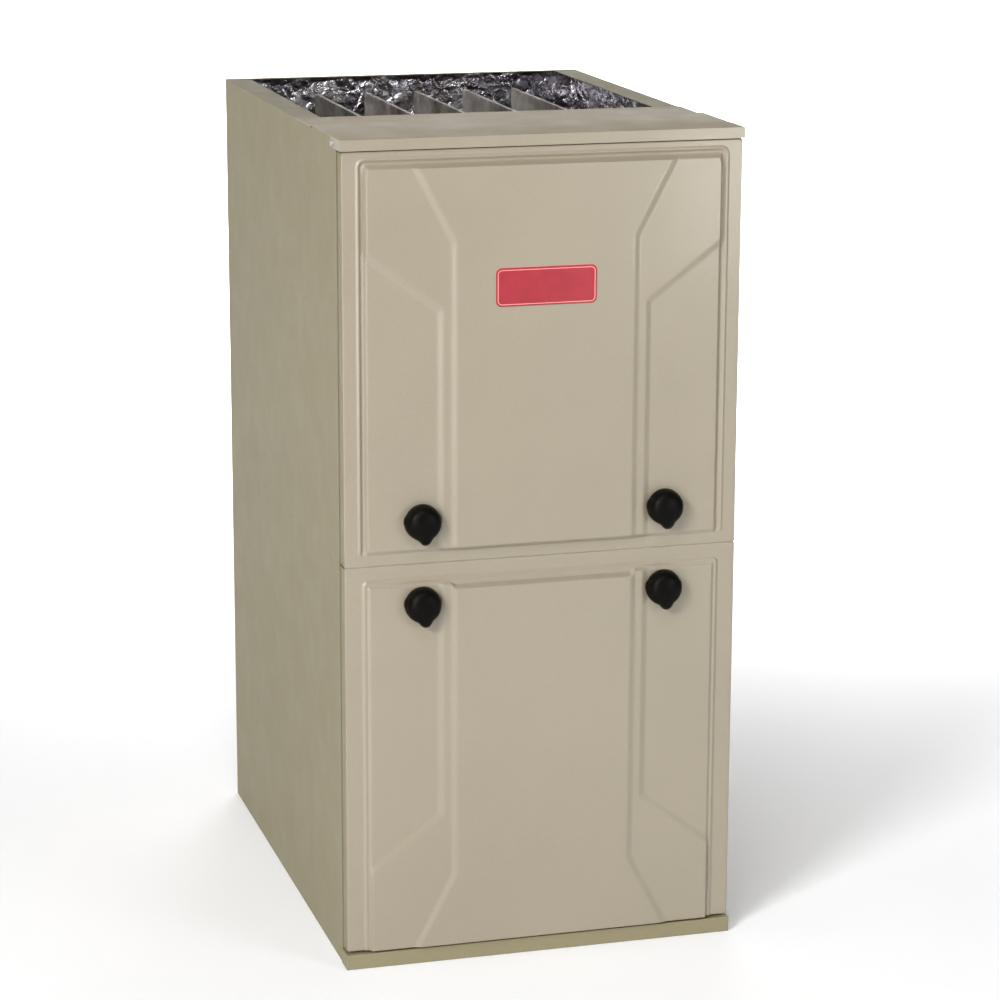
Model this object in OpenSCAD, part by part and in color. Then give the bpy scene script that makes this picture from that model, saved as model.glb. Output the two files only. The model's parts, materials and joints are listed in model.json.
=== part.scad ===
// Forced air gas furnace, upflow, with lift-off doors and a four-knob front.
// Origin: centre of the overall footprint at floor level. Front faces -Y, +Z is up.

/* [Casing] */
// Width over the side panels
casing_w = 490; // [480:5:560]
// Height from the floor to the top plate
casing_h = 1013; // [980:1:1060]
// Depth from the door face to the back panel
casing_d = 680; // [660:5:740]
// Thickness of the casing sheet
sheet = 1.2; // [1:0.1:1.6]
// Width of the duct flange along each side of the top opening
duct_flange = 32; // [20:1:40]
// Distance from the door face to the front edge of the top opening
opening_setback = 235; // [225:1:250]
// Height of the lip under the front edge of the top plate
lip_h = 13; // [12:0.5:15]
// Height of the strip under the lower door
base_h = 19; // [14:0.5:26]
// Height of the blower shelf above the floor
shelf_h = 508; // [495:1:520]
// Distance from the door face to the panel that carries the heat exchanger
cell_panel_setback = 204; // [200:1:215]
// Thickness of the foil-faced insulation
liner_t = 12; // [8:0.5:14]

/* [Doors] */
// Depth of each door tray
door_d = 26; // [22:1:30]
// Gap around each door
door_gap = 1; // [0.5:0.1:2]
// Flat rim beside the embossed field
rim_w = 17; // [12:0.5:22]
// Width of the groove round the upper field
groove_w = 9; // [6:0.5:12]
// Height of the raised centre panel above the side panels
panel_relief = 4.8; // [3:0.1:6]

/* [Knobs] */
// Radius of the round knob body
knob_r = 22; // [18:0.5:25]
// Distance that the knobs stand in front of the door field
knob_proud = 24; // [20:0.5:30]
// Sideways distance of the knobs from the centre line
knob_x = 151; // [145:1:165]
// Height of the upper knobs above the shelf
knob_rise = 50; // [45:1:55]
// Depth of the lower knobs below the shelf
knob_drop = 51; // [45:1:55]
// Radius of the knob stud
stud_r = 4; // [3:0.1:5]

/* [Heat section] */
// Distance between neighbouring cells
cell_pitch = 68; // [62:1:68]
// Height of the burner axis above the shelf
burner_rise = 124; // [115:1:130]
// Gap between the cells and the back panel
cell_back_gap = 68; // [50:1:100]
// Gap between the cell tops and the top of the casing
cell_top_gap = 15; // [12:1:40]
// Outer radius of the gas manifold
manifold_r = 10.65; // [9:0.05:12]
// Radius of the threaded gas inlet
gas_bore_r = 9; // [7:0.1:12]
// Radius of the vent collar
vent_r = 50.8; // [44:0.1:56]

/* [Blower] */
// Radius of the blower wheel
wheel_r = 127; // [110:1:130]
// Width of the blower wheel
wheel_w = 215; // [180:1:220]
// Width of the blower housing
scroll_w = 250; // [240:1:280]
// Radius of the blower shaft
shaft_r = 6.35; // [5:0.05:8]
// Number of blower wheel blades
blade_count = 32; // [20:1:40]
// Radius of the blower motor
motor_r = 69.8; // [55:0.1:75]

/* [Side entries, on the right] */
// Radius of the gas pipe entry
gas_entry_r = 22.2; // [18:0.1:26]
// Radius of the power entry
power_entry_r = 11.1; // [8:0.1:14]
// Radius of the thermostat cable entry
stat_entry_r = 6.35; // [5:0.05:10]

/* [Clearances] */
// Gap between parts that slip together
slip = 0.2; // [0.1:0.05:0.4]
// Radial gap round moving shafts and plungers
run = 0.3; // [0.2:0.05:0.5]

/* [Hidden] */
$fn = 48;

// Main planes
back_y = (casing_d + knob_proud) / 2;
face_y = back_y - casing_d;
frame_y = face_y + door_d;
rail_back_y = frame_y + 2 * sheet;
cell_y = face_y + cell_panel_setback;
open_y = face_y + opening_setback;
inner_x = casing_w / 2 - sheet;
inner_back_y = back_y - sheet;
top_step = 2.5;
flange_top = casing_h - top_step - sheet;
fit_x = inner_x - slip;

// Casing details
front_flange = 20;
bottom_flange = 20;
back_flange = 8;
side_skirt = 18;

// Top plate details
crease_setback = 150;
crease_run = 12;
lip_tab_d = 48;
tab_screw_setback = 38;
screw_r = 2;
screw_head_r = 4;
screw_head_t = 2.4;

// Door heights
door_w = casing_w - door_gap;
seam_z = shelf_h - 2.5;
lower_bottom = base_h + 3;
lower_top = seam_z - door_gap / 2;
upper_bottom = seam_z + door_gap / 2;
upper_top = casing_h - lip_h - 3;
door_skin = 1.2;
upper_rim_y = face_y + 3;
groove_y = face_y + 4.5;
lower_rim_y = face_y + 3;
step_y = face_y + 1.5;
lower_rim_h = 18;
upper_rim_top = 8;
upper_rim_bottom = 10;
step_w = 5;
centre_drop = 7;
field_r = 8;
plate_z = 835;
plate_size = [124, 46];
lower_skin_back = face_y + door_skin;

// Raised panel outline, from the door's centre line
centre_half = 112;
centre_wide_half = 159;
side_in = 128;
panel_inset = 5;
diag_centre = 90;
diag_inner = 168;
diag_outer = 100;

// Centre rail, between the two doors
rail_low = shelf_h - 73;
rail_high = shelf_h + 74;
rail_return = 22;
upper_knob_z = shelf_h + knob_rise;
lower_knob_z = shelf_h - knob_drop;
stud_hole_r = stud_r + run;
stud_end = frame_y + 2 * sheet + 12;

// Heat section
burner_z = shelf_h + burner_rise;
cell_back_y = inner_back_y - cell_back_gap;
cell_low = burner_z - 40;
cell_high = flange_top - cell_top_gap;
cell_sheet = 2.4;
cell_xs = [for (i = [-2 : 2]) i * cell_pitch];
bundle_half = 2 * cell_pitch;
inlet_r = 20;
pass_shares = [0, 0.3036, 0.5658, 0.8004];
pass_rises = [for (share = pass_shares) share * (cell_high - burner_z)];
outlet_z = burner_z + pass_rises[3];
outlet_h = 28;
collector_d = 38;
collector_half = bundle_half + 28;
inducer_r0 = 62;
inducer_r1 = 92;
inducer_slot = 70;
vent_hole_r = vent_r + 5;
vent_rise = inducer_r1 - inducer_slot / 2;
inducer_rise = 238;
inducer_z = min(burner_z + inducer_rise, flange_top - vent_rise - vent_hole_r - 12);
collector_low = inducer_z - 45;
collector_high = outlet_z + 28;

// Burners and gas train
burner_front = cell_y - 126;
burner_back = cell_y - 4;
manifold_y = cell_y - 144;
end_wall_x = bundle_half + 22;
box_low = burner_z - 29;
box_high = burner_z + 33;
box_front = cell_y - 122;
valve_left = end_wall_x + sheet + 6;
valve_gap = 10.6;
valve_right = inner_x - valve_gap;
orifice_r = 4.8;

// Inducer
inducer_x = -45;
inducer_back = cell_y - collector_d;
inducer_d = 58;
inducer_front = inducer_back - inducer_d;
inducer_reach = 95;
inducer_wheel_r = 54;
inducer_shaft_r = 4;
inducer_t = 1.5;
vent_y = inducer_back - 60;
vent_z = inducer_z + vent_rise;
vent_mouth_x = inducer_x + inducer_reach;
vent_end_x = casing_w / 2 - 7;

// Blower
scroll_y = 60;
scroll_z = 240;
scroll_r0 = 141;
scroll_r1 = 215;
scroll_slot = 260;
scroll_reach = shelf_h - sheet - scroll_z;
inlet_throat_r = 114;
motor_l = 122;
motor_left = -162;
arm_in = motor_r + slip;
arm_out = 152;

// Openings, fixings and small parts
entry_y = frame_y + 45;
power_entry_z = 340;
stat_entry_z = 250;
tab_screw_y = face_y + tab_screw_setback;
tab_screw_z = flange_top - sheet - screw_r - 1;
outlet_half = scroll_w / 2 - sheet;
outlet_front = scroll_y + scroll_r1 - scroll_slot + sheet;
outlet_rear = scroll_y + scroll_r1 - sheet;
grommet_x = -205;
grommet_y = cell_y - 60;
grommet_r = 8;
plunger_x = 90;
plunger_z = shelf_h - 40;
plunger_r = 3;
inducer_eye_r = 30;
burner_throat_r = 11;
igniter_x = cell_xs[0] + cell_pitch / 2;
sensor_x = cell_xs[4] - cell_pitch / 2;
igniter_y = cell_y - 20;
switch_x = valve_right - 26;
switch_y = manifold_y - 20;
switch_z = burner_z + 24;
button_r = 3;
motor_front_y = inducer_front - 60;
ps_x = -200;
ps_z = inducer_z + 82;
hose_port_r = 2.5;
hose_r = 3.5;
harness_y = frame_y + 52;
harness_z = rail_low - 35;
harness_r = 6;
box_left = -200;
box_right = 130;
ctrl_d = 62;
ctrl_low = rail_low - 116;
board_back = frame_y + sheet + rail_return + ctrl_d - sheet - 8;
disc_x = 6;

// ---- Shared shapes ----

// Box from its low corner to its high corner
module block(low, high) {
    translate(low) cube([for (i = [0 : 2]) high[i] - low[i]]);
}

// Round bar along X, Y or Z
module bar_x(x0, x1, y, z, r) {
    translate([x0, y, z]) rotate([0, 90, 0]) cylinder(h = x1 - x0, r = r);
}
module bar_y(x, y0, y1, z, r) {
    translate([x, y1, z]) rotate([90, 0, 0]) cylinder(h = y1 - y0, r = r);
}
module bar_z(x, y, z0, z1, r) {
    translate([x, y, z0]) cylinder(h = z1 - z0, r = r);
}

// Body turned about an axis along Y, from [distance along Y, radius] points
module turned_y(x, y, z, outline) {
    translate([x, y, z]) rotate([-90, 0, 0])
        rotate_extrude() polygon([for (p = outline) [p[1], p[0]]]);
}
// Body turned about an axis along X, from [distance along X, radius] points
module turned_x(x, y, z, outline) {
    translate([x, y, z]) rotate([0, 90, 0])
        rotate_extrude() polygon([for (p = outline) [p[1], p[0]]]);
}

// Copies a shape to the other side of the centre line
module both_sides() {
    children();
    mirror([1, 0, 0]) children();
}

// Front-facing outline in X and Z, given a thickness from y0 back to y1
module front_slab(y0, y1) {
    translate([0, y1, 0]) rotate([90, 0, 0]) linear_extrude(y1 - y0) children();
}

// Rectangle with rounded corners, between two corners
module rounded_rect(low, high, r) {
    translate([low[0] + r, low[1]]) square([high[0] - low[0] - 2 * r, high[1] - low[1]]);
    translate([low[0], low[1] + r]) square([high[0] - low[0], high[1] - low[1] - 2 * r]);
    for (x = [low[0] + r, high[0] - r], z = [low[1] + r, high[1] - r])
        translate([x, z]) circle(r);
}

// Volute outline: the outlet leaves along +Y at the +X side, inset moves every wall inwards
module volute(r0, r1, slot, reach, inset = 0) {
    turn = 290;
    steps = 40;
    arc = [for (i = [0 : steps])
        let (a = -turn * (1 - i / steps) , r = r1 - (r1 - r0) * (1 - i / steps) - inset)
        [r * cos(a), r * sin(a)]];
    polygon(concat([[0, 0]], arc));
    circle(r = r0 - inset);
    translate([r1 - slot + inset, 0]) square([slot - 2 * inset, reach]);
}

// ---- Casing ----

// One flat side of the casing, at +X
module side_sheet() {
    raised_end = face_y + crease_setback - sheet / 2 - slip;
    block([inner_x, frame_y, 0], [casing_w / 2, raised_end, casing_h - sheet - slip]);
    block([inner_x, raised_end, 0], [casing_w / 2, open_y, flange_top - slip]);
    block([inner_x, open_y, 0], [casing_w / 2, back_y, flange_top]);
}

// Flanges turned in along the edges of one side, at +X
module side_flanges() {
    block([casing_w / 2 - duct_flange, open_y, flange_top - sheet],
          [inner_x, inner_back_y, flange_top]);
    block([casing_w / 2 - bottom_flange, frame_y, 0], [inner_x, inner_back_y, sheet]);
    block([casing_w / 2 - front_flange, frame_y, 0],
          [inner_x, frame_y + sheet, flange_top - slip]);
}

// Hole for the screw through the top plate's side tab
module tab_screw_hole() {
    bar_x(inner_x - 1, casing_w / 2 + sheet + 1, tab_screw_y, tab_screw_z, screw_r + slip);
}

module left_side_panel() {
    color("#a99f85") mirror([1, 0, 0]) difference() {
        side_sheet();
        tab_screw_hole();
    }
}

// Right side, with the gas, vent, power and thermostat entries
module right_side_panel() {
    x0 = inner_x - 1;
    x1 = casing_w / 2 + 1;
    color("#a99f85") difference() {
        side_sheet();
        tab_screw_hole();
        bar_x(x0, x1, manifold_y, burner_z, gas_entry_r);
        bar_x(x0, x1, vent_y, vent_z, vent_hole_r);
        bar_x(x0, x1, entry_y, power_entry_z, power_entry_r);
        bar_x(x0, x1, entry_y, stat_entry_z, stat_entry_r);
    }
}

// Back of the casing, between the sides, with the flanges round the openings
module back_panel() {
    flange_half = casing_w / 2 - duct_flange;
    low_half = casing_w / 2 - bottom_flange;
    color("#a99f85") {
        block([-inner_x, inner_back_y, 0], [inner_x, back_y, flange_top]);
        block([-flange_half, back_y - back_flange, flange_top - sheet],
              [flange_half, inner_back_y, flange_top]);
        block([-low_half, back_y - bottom_flange, 0], [low_half, inner_back_y, sheet]);
        both_sides() side_flanges();
    }
}

// Plate over the front of the casing, with its lip, crease, side tabs and rear duct flange
module top_front_plate() {
    crease_y = face_y + crease_setback;
    low = casing_h - top_step;
    color("#b0a68c") difference() {
        union() {
            translate([-casing_w / 2, 0, 0]) rotate([90, 0, 90]) linear_extrude(casing_w)
                polygon([[face_y, casing_h], [crease_y, casing_h], [crease_y + crease_run, low],
                         [open_y, low], [open_y, low - lip_h], [open_y - sheet, low - lip_h],
                         [open_y - sheet, low - sheet], [crease_y + crease_run - sheet / 2, low - sheet],
                         [crease_y - sheet / 2, casing_h - sheet], [face_y + sheet, casing_h - sheet],
                         [face_y + sheet, casing_h - lip_h], [face_y, casing_h - lip_h]]);
            both_sides() block([casing_w / 2, face_y, casing_h - lip_h],
                               [casing_w / 2 + sheet, face_y + lip_tab_d, casing_h]);
        }
        both_sides() {
            block([casing_w / 2 - duct_flange - slip, open_y - sheet - 1, low - lip_h - 1],
                  [casing_w, open_y + 1, low - sheet]);
            tab_screw_hole();
        }
    }
}

// Channel strip under the lower door, screwed to the front flanges
module base_rail() {
    end_x = casing_w / 2 + sheet;
    color("#a39a82") {
        block([-end_x, face_y - 1, 0], [end_x, face_y - 1 + sheet, base_h]);
        block([-end_x, face_y - 1, 0], [end_x, frame_y, sheet]);
        block([-end_x, face_y - 1, base_h - sheet], [end_x, frame_y, base_h]);
        both_sides() block([casing_w / 2, face_y - 1, 0], [end_x, frame_y, base_h]);
    }
}

// Plate that closes the return opening in the bottom, resting on the casing flanges
module bottom_closure_panel() {
    half = casing_w / 2 - bottom_flange + 12;
    deep = back_y - bottom_flange + 12;
    front = frame_y + sheet + slip;
    lip = 14;
    rib_pitch = 150;
    rib_half = 6;
    rib_end = 20;
    rib_top = 2 * sheet + 2;
    color("#9d978a") {
        block([-half, front, sheet], [half, deep, 2 * sheet]);
        block([-half, front, sheet], [half, front + sheet, sheet + lip]);
        for (y = [-rib_pitch : rib_pitch : rib_pitch])
            block([-half + rib_end, y - rib_half, 2 * sheet], [half - rib_end, y + rib_half, rib_top]);
    }
}

// Shelf that carries the blower, with its outlet opening and downturned flanges
module blower_shelf() {
    front = rail_back_y + slip;
    back = inner_back_y - slip;
    color("#b5b3ab") difference() {
        union() {
            block([-fit_x, front, shelf_h - sheet], [fit_x, back, shelf_h]);
            both_sides() block([fit_x - sheet, front, shelf_h - side_skirt], [fit_x, back, shelf_h]);
            block([-fit_x, back - sheet, shelf_h - side_skirt], [fit_x, back, shelf_h]);
        }
        block([-outlet_half, outlet_front, shelf_h - 20], [outlet_half, outlet_rear, shelf_h + 1]);
        bar_z(grommet_x, grommet_y, shelf_h - 20, shelf_h + 1, grommet_r);
    }
}

// Upright panel that carries the cells behind and the burners and inducer in front
module cell_panel() {
    low_flange = flange_top - sheet - slip;
    color("#b5b3ab") difference() {
        union() {
            block([-fit_x, cell_y, shelf_h], [fit_x, cell_y + sheet, low_flange]);
            block([duct_flange - casing_w / 2 + slip, cell_y, shelf_h],
                  [casing_w / 2 - duct_flange - slip, cell_y + sheet, flange_top]);
            both_sides() block([fit_x - sheet, cell_y - side_skirt, shelf_h],
                               [fit_x, cell_y + sheet, low_flange]);
        }
        for (x = cell_xs) {
            bar_y(x, cell_y - 1, cell_y + sheet + 1, burner_z, inlet_r);
            block([x - 6, cell_y - 1, outlet_z - outlet_h / 2],
                  [x + 6, cell_y + sheet + 1, outlet_z + outlet_h / 2]);
        }
    }
}

// Cross rail behind the door seam, with a hole for each knob stud and the switch plunger
module centre_rail() {
    y0 = frame_y + sheet;
    color("#a99f85") difference() {
        union() {
            block([-fit_x, y0, rail_low], [fit_x, rail_back_y, rail_high]);
            for (z = [rail_low, rail_high - sheet])
                block([-fit_x, y0, z], [fit_x, y0 + rail_return, z + sheet]);
        }
        both_sides() for (z = [upper_knob_z, lower_knob_z])
            bar_y(knob_x, y0 - 1, rail_back_y + 1, z, stud_hole_r);
        bar_y(plunger_x, y0 - 1, rail_back_y + 1, plunger_z, plunger_r + run);
    }
}

// Spring clips behind the rail that the knob studs enter
module latch_receptacles() {
    half = 11;
    deep = 8;
    color("#c8c6c0") both_sides() for (z = [upper_knob_z, lower_knob_z]) difference() {
        union() {
            block([knob_x - half, rail_back_y, z - half],
                  [knob_x + half, rail_back_y + sheet, z + half]);
            bar_y(knob_x, rail_back_y, rail_back_y + deep, z, stud_hole_r + 2);
        }
        bar_y(knob_x, rail_back_y - 1, rail_back_y + deep + 1, z, stud_hole_r);
    }
}

// Foil-faced insulation against the side and back walls above the shelf
module insulation_liner() {
    y0 = cell_y + sheet + slip;
    y1 = inner_back_y - slip;
    back_face = y1 - liner_t;
    high = flange_top - sheet - slip;
    color("#b9bcc4") {
        both_sides() block([fit_x - liner_t, y0, shelf_h + slip], [fit_x, back_face - slip, high]);
        block([-fit_x, back_face, shelf_h + slip], [fit_x, y1, high]);
    }
}

// Screws through the side tabs of the top plate
module casing_screws() {
    color("#c8c6c0") both_sides() {
        bar_x(casing_w / 2 + sheet, casing_w / 2 + sheet + screw_head_t, tab_screw_y, tab_screw_z,
              screw_head_r);
        bar_x(inner_x - 5, casing_w / 2 + sheet, tab_screw_y, tab_screw_z, screw_r);
    }
}

// ---- Heat exchanger and flue collector ----

// Flow passage pressed into a cell: an even slab with round ends, between two y and about one z
module pass_slab(x, y0, y1, z, half_h, half_t) {
    translate([x - half_t, 0, 0]) rotate([90, 0, 90]) linear_extrude(2 * half_t) {
        translate([y0 + half_h, z - half_h]) square([y1 - y0 - 2 * half_h, 2 * half_h]);
        for (y = [y0 + half_h, y1 - half_h]) translate([y, z]) circle(half_h);
    }
}

// The four passes of one cell, shrunk by skin for the hollow inside them
module cell_passes(x, skin) {
    front = cell_y + sheet + 14;
    rear = cell_back_y - 14;
    halves = [30, 24, 20, 17];
    thicks = [17, 14, 11, 9];
    for (i = [0 : 3])
        pass_slab(x, front + skin, rear - skin, burner_z + pass_rises[i], halves[i] - skin,
                  thicks[i] - skin);
    for (i = [0 : 2]) {
        end = i % 2 == 0 ? rear - 40 : front + 4;
        block([x - thicks[i + 1] + skin, end + skin, burner_z + pass_rises[i]],
              [x + thicks[i + 1] - skin, end + 36 - skin, burner_z + pass_rises[i + 1]]);
    }
}

// One clamshell cell: two pressed halves crimped round their edge, hollow from inlet to outlet
module heat_exchanger_cell(x) {
    y0 = cell_y + sheet;
    skin = 1;
    color("#8d8178") difference() {
        union() {
            block([x - cell_sheet / 2, y0, cell_low], [x + cell_sheet / 2, cell_back_y, cell_high]);
            block([x - cell_sheet, cell_back_y - 8, cell_low],
                  [x + cell_sheet, cell_back_y, cell_high]);
            block([x - cell_sheet, y0, cell_high - 8], [x + cell_sheet, cell_back_y, cell_high]);
            bar_y(x, y0, y0 + 40, burner_z, inlet_r + 2);
            block([x - 8, y0, outlet_z - 17], [x + 8, y0 + 30, outlet_z + 17]);
            cell_passes(x, 0);
        }
        cell_passes(x, skin);
        bar_y(x, y0 - 1, y0 + 44, burner_z, inlet_r - 5);
        block([x - 5, y0 - 1, outlet_z - 14], [x + 5, y0 + 34, outlet_z + 14]);
    }
}

// Box that gathers the flue gas from the cells
module collector_box() {
    y0 = cell_y - collector_d;
    color("#9a9c9e") difference() {
        block([-collector_half, y0, collector_low], [collector_half, cell_y, collector_high]);
        block([-collector_half + sheet, y0 + sheet, collector_low + sheet],
              [collector_half - sheet, cell_y + 1, collector_high - sheet]);
        bar_y(inducer_x, y0 - 1, y0 + 2 * sheet, inducer_z, inducer_eye_r);
    }
}

// ---- Burners and gas train ----

// Bracket that holds the burners in front of the cell panel
module burner_box() {
    support_y = cell_y - 96;
    top_y = cell_y - 36;
    wall_high = box_high;
    color("#a9a7a0") difference() {
        union() {
            block([-end_wall_x, box_front, box_low], [end_wall_x, cell_y, box_low + sheet]);
            block([-end_wall_x, cell_y - sheet, box_low], [end_wall_x, cell_y, wall_high]);
            block([-end_wall_x, top_y, wall_high - sheet], [end_wall_x, cell_y, wall_high]);
            block([-end_wall_x, support_y, box_low],
                  [end_wall_x, support_y + sheet, burner_z + 16]);
            both_sides() block([end_wall_x, manifold_y - 18, box_low],
                               [end_wall_x + sheet, cell_y, wall_high]);
        }
        for (x = cell_xs) {
            bar_y(x, cell_y - sheet - 1, cell_y + 1, burner_z, inlet_r);
            bar_y(x, support_y - 1, support_y + sheet + 1, burner_z, burner_throat_r + slip);
        }
        both_sides() bar_x(end_wall_x - 1, end_wall_x + sheet + 1, manifold_y, burner_z,
                           manifold_r + slip);
        block([igniter_x - 9, igniter_y - 5, wall_high - 2 * sheet],
              [igniter_x + 9, igniter_y + 5, wall_high + 1]);
        bar_z(sensor_x, igniter_y, wall_high - 2 * sheet, wall_high + 1, 4.5);
    }
}

// In-shot burner: bell mouth, throat, diffuser and flame head, hollow right through
module burner(x) {
    long = burner_back - burner_front;
    skin = 1.4;
    outer = [[0, 16], [6, 16], [14, burner_throat_r], [36, burner_throat_r], [78, 14.5],
             [long - 24, 14.5], [long - 22, 17.5], [long, 17.5]];
    color("#b8b4ab") turned_y(x, burner_front, burner_z, concat(
        outer, [for (i = [len(outer) - 1 : -1 : 0]) [outer[i][0], outer[i][1] - skin]]));
    color("#8c8a84") for (a = [0 : 45 : 315])
        translate([x, 0, burner_z]) rotate([0, a, 0])
            block([9, burner_back - 10, -0.6], [16.3, burner_back - 4, 0.6]);
}

// Straight gas pipe across the burner mouths, drilled for its orifices
module gas_manifold() {
    color("#55534f") difference() {
        union() {
            bar_x(-end_wall_x - 14, valve_left, manifold_y, burner_z, manifold_r);
            bar_x(-end_wall_x - 22, -end_wall_x - 10, manifold_y, burner_z, manifold_r + 3);
        }
        bar_x(-end_wall_x - 6, valve_left + 1, manifold_y, burner_z, manifold_r - 2.7);
        for (x = cell_xs)
            bar_y(x, manifold_y, manifold_y + manifold_r + 1, burner_z, orifice_r + slip);
    }
}

// Brass orifices in the manifold, one in front of each burner
module orifices() {
    y0 = manifold_y + manifold_r;
    color("#b58a3c") for (x = cell_xs) difference() {
        union() {
            bar_y(x, y0 - 2.5, y0 + 9, burner_z, orifice_r);
            translate([x, y0 + 6.4, burner_z]) rotate([90, 0, 0])
                cylinder(h = 6, r = 7, $fn = 6);
        }
        bar_y(x, y0 - 3, y0 + 10, burner_z, 1.2);
    }
}

// Gas control: body, regulator tower, pressure taps, inlet boss and outlet boss
module gas_valve() {
    y0 = manifold_y - 24;
    y1 = manifold_y + 30;
    z0 = burner_z - 26;
    z1 = burner_z + 40;
    color("#9b9d9f") difference() {
        union() {
            block([valve_left + 6, y0, z0], [valve_right - 6, y1, z1]);
            block([valve_left + 12, y0 + 6, z1], [valve_right - 12, y1 - 6, z1 + 22]);
            bar_x(valve_left, valve_left + 6, manifold_y, burner_z, 15);
            bar_x(valve_right - 6, valve_right, manifold_y, burner_z, 15);
            bar_z(valve_left + 22, y0 + 18, z1 + 22, z1 + 34, 9);
            for (x = [valve_left + 16, valve_right - 16])
                bar_y(x, y0 - 4, y0, z0 + 9, 4.5);
        }
        bar_x(valve_right - 20, valve_right + 1, manifold_y, burner_z, gas_bore_r);
        bar_x(valve_left - 1, valve_left + 20, manifold_y, burner_z, manifold_r - 2.7);
        block([switch_x - 7, y0 - 1, switch_z - 10], [switch_x + 7, y0 + 8, switch_z + 10]);
        translate([switch_x - 8, switch_y, switch_z]) rotate([0, 90, 0]) cylinder(h = 16, r = 2.3);
    }
}

// Toggle that turns the gas on and off, on its own pin
module gas_valve_switch() {
    color("#2b4c8c") {
        bar_x(switch_x - 7.6, switch_x + 7.6, switch_y, switch_z, 2);
        bar_x(switch_x - 6, switch_x + 6, switch_y, switch_z, 3.5);
        block([switch_x - 3, switch_y - 15, switch_z - 1.6], [switch_x + 3, switch_y, switch_z + 1.6]);
    }
}

// Hot surface igniter: ceramic holder on the burner box, element beside the first burner
module igniter() {
    color("#e6dfd0") {
        block([igniter_x - 14, igniter_y - 7, box_high], [igniter_x + 14, igniter_y + 7, box_high + 9]);
        block([igniter_x - 8, igniter_y - 4, box_high - 12], [igniter_x + 8, igniter_y + 4, box_high]);
    }
    color("#6d6a68") for (side = [-1, 1])
        block([igniter_x + side * 5 - 1.5, igniter_y - 1.5, box_high - 34],
              [igniter_x + side * 5 + 1.5, igniter_y + 1.5, box_high - 12]);
    color("#6d6a68") block([igniter_x - 6.5, igniter_y - 1.5, box_high - 36],
                           [igniter_x + 6.5, igniter_y + 1.5, box_high - 34]);
}

// Flame sensor: rod in a ceramic sleeve with its bracket
module flame_sensor() {
    color("#e6dfd0") bar_z(sensor_x, igniter_y, box_high - 12, box_high + 16, 4);
    color("#a9a7a0") difference() {
        block([sensor_x - 10, igniter_y - 7, box_high], [sensor_x + 10, igniter_y + 7, box_high + sheet]);
        bar_z(sensor_x, igniter_y, box_high - 1, box_high + 2, 4);
    }
    color("#6d6a68") bar_z(sensor_x, igniter_y, box_high - 40, box_high - 12, 1.5);
}

// Flame rollout switch on top of the burner box
module rollout_switch() {
    y = cell_y - 20;
    color("#2e2d2c") difference() {
        union() {
            block([-16, y - 9, box_high], [16, y + 9, box_high + sheet]);
            bar_z(0, y, box_high, box_high + 14, 8);
        }
        bar_z(0, y, box_high + 6, box_high + 15, button_r + run);
    }
}

// Reset button of the rollout switch
module rollout_reset_button() {
    color("#b3201d") bar_z(0, cell_y - 20, box_high + 8, box_high + 17, button_r);
}

// High temperature limit switch on the cell panel
module limit_switch() {
    x = cell_pitch / 2;
    z = burner_z + 120;
    color("#3a3936") {
        block([x - 24, cell_y - sheet, z - 11], [x + 24, cell_y, z + 11]);
        bar_y(x, cell_y - 13, cell_y - sheet, z, 9);
        for (side = [-1, 1])
            block([x + side * 5 - 2, cell_y - 20, z - 0.6], [x + side * 5 + 2, cell_y - 13, z + 0.6]);
    }
}

// ---- Inducer and vent ----

// Stands a volute outline up with its outlet towards +X, and extrudes it towards +Y
module inducer_volute(y0, y1, inset) {
    translate([inducer_x, y0, inducer_z]) rotate(a = -120, v = [1, 1, 1]) linear_extrude(y1 - y0)
        volute(inducer_r0, inducer_r1, inducer_slot, inducer_reach, inset);
}

// Scroll housing on the front of the collector box
module inducer_housing() {
    color("#8f9294") difference() {
        union() {
            inducer_volute(inducer_front, inducer_back, 0);
            block([vent_mouth_x - 3, inducer_front - 6, vent_z - inducer_slot / 2 - 8],
                  [vent_mouth_x, inducer_back, vent_z + inducer_slot / 2 + 8]);
        }
        inducer_volute(inducer_front + inducer_t, inducer_back - inducer_t, inducer_t);
        block([vent_mouth_x - 4, inducer_front + inducer_t, vent_z - inducer_slot / 2 + inducer_t],
              [vent_mouth_x + 1, inducer_back - inducer_t, vent_z + inducer_slot / 2 - inducer_t]);
        bar_y(inducer_x, inducer_back - 2 * inducer_t, inducer_back + 1, inducer_z, inducer_eye_r);
        bar_y(inducer_x, inducer_front - 1, inducer_front + 2 * inducer_t, inducer_z, 12);
    }
}

// Shrouded wheel with radial blades, on its shaft
module inducer_wheel() {
    back = inducer_back - 12;
    front = back - 26;
    color("#6f7173") {
        bar_y(inducer_x, front, front + 1.5, inducer_z, inducer_wheel_r);
        bar_y(inducer_x, front - 4, back - 6, inducer_z, 9);
        for (a = [0 : 30 : 330]) translate([inducer_x, 0, inducer_z]) rotate([0, a, 0])
            block([16, front, -0.8], [inducer_wheel_r, back, 0.8]);
        difference() {
            bar_y(inducer_x, back - 1.5, back, inducer_z, inducer_wheel_r);
            bar_y(inducer_x, back - 3, back + 1, inducer_z, inducer_eye_r);
        }
        bar_y(inducer_x, motor_front_y - 14, front, inducer_z, inducer_shaft_r);
    }
}

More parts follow.
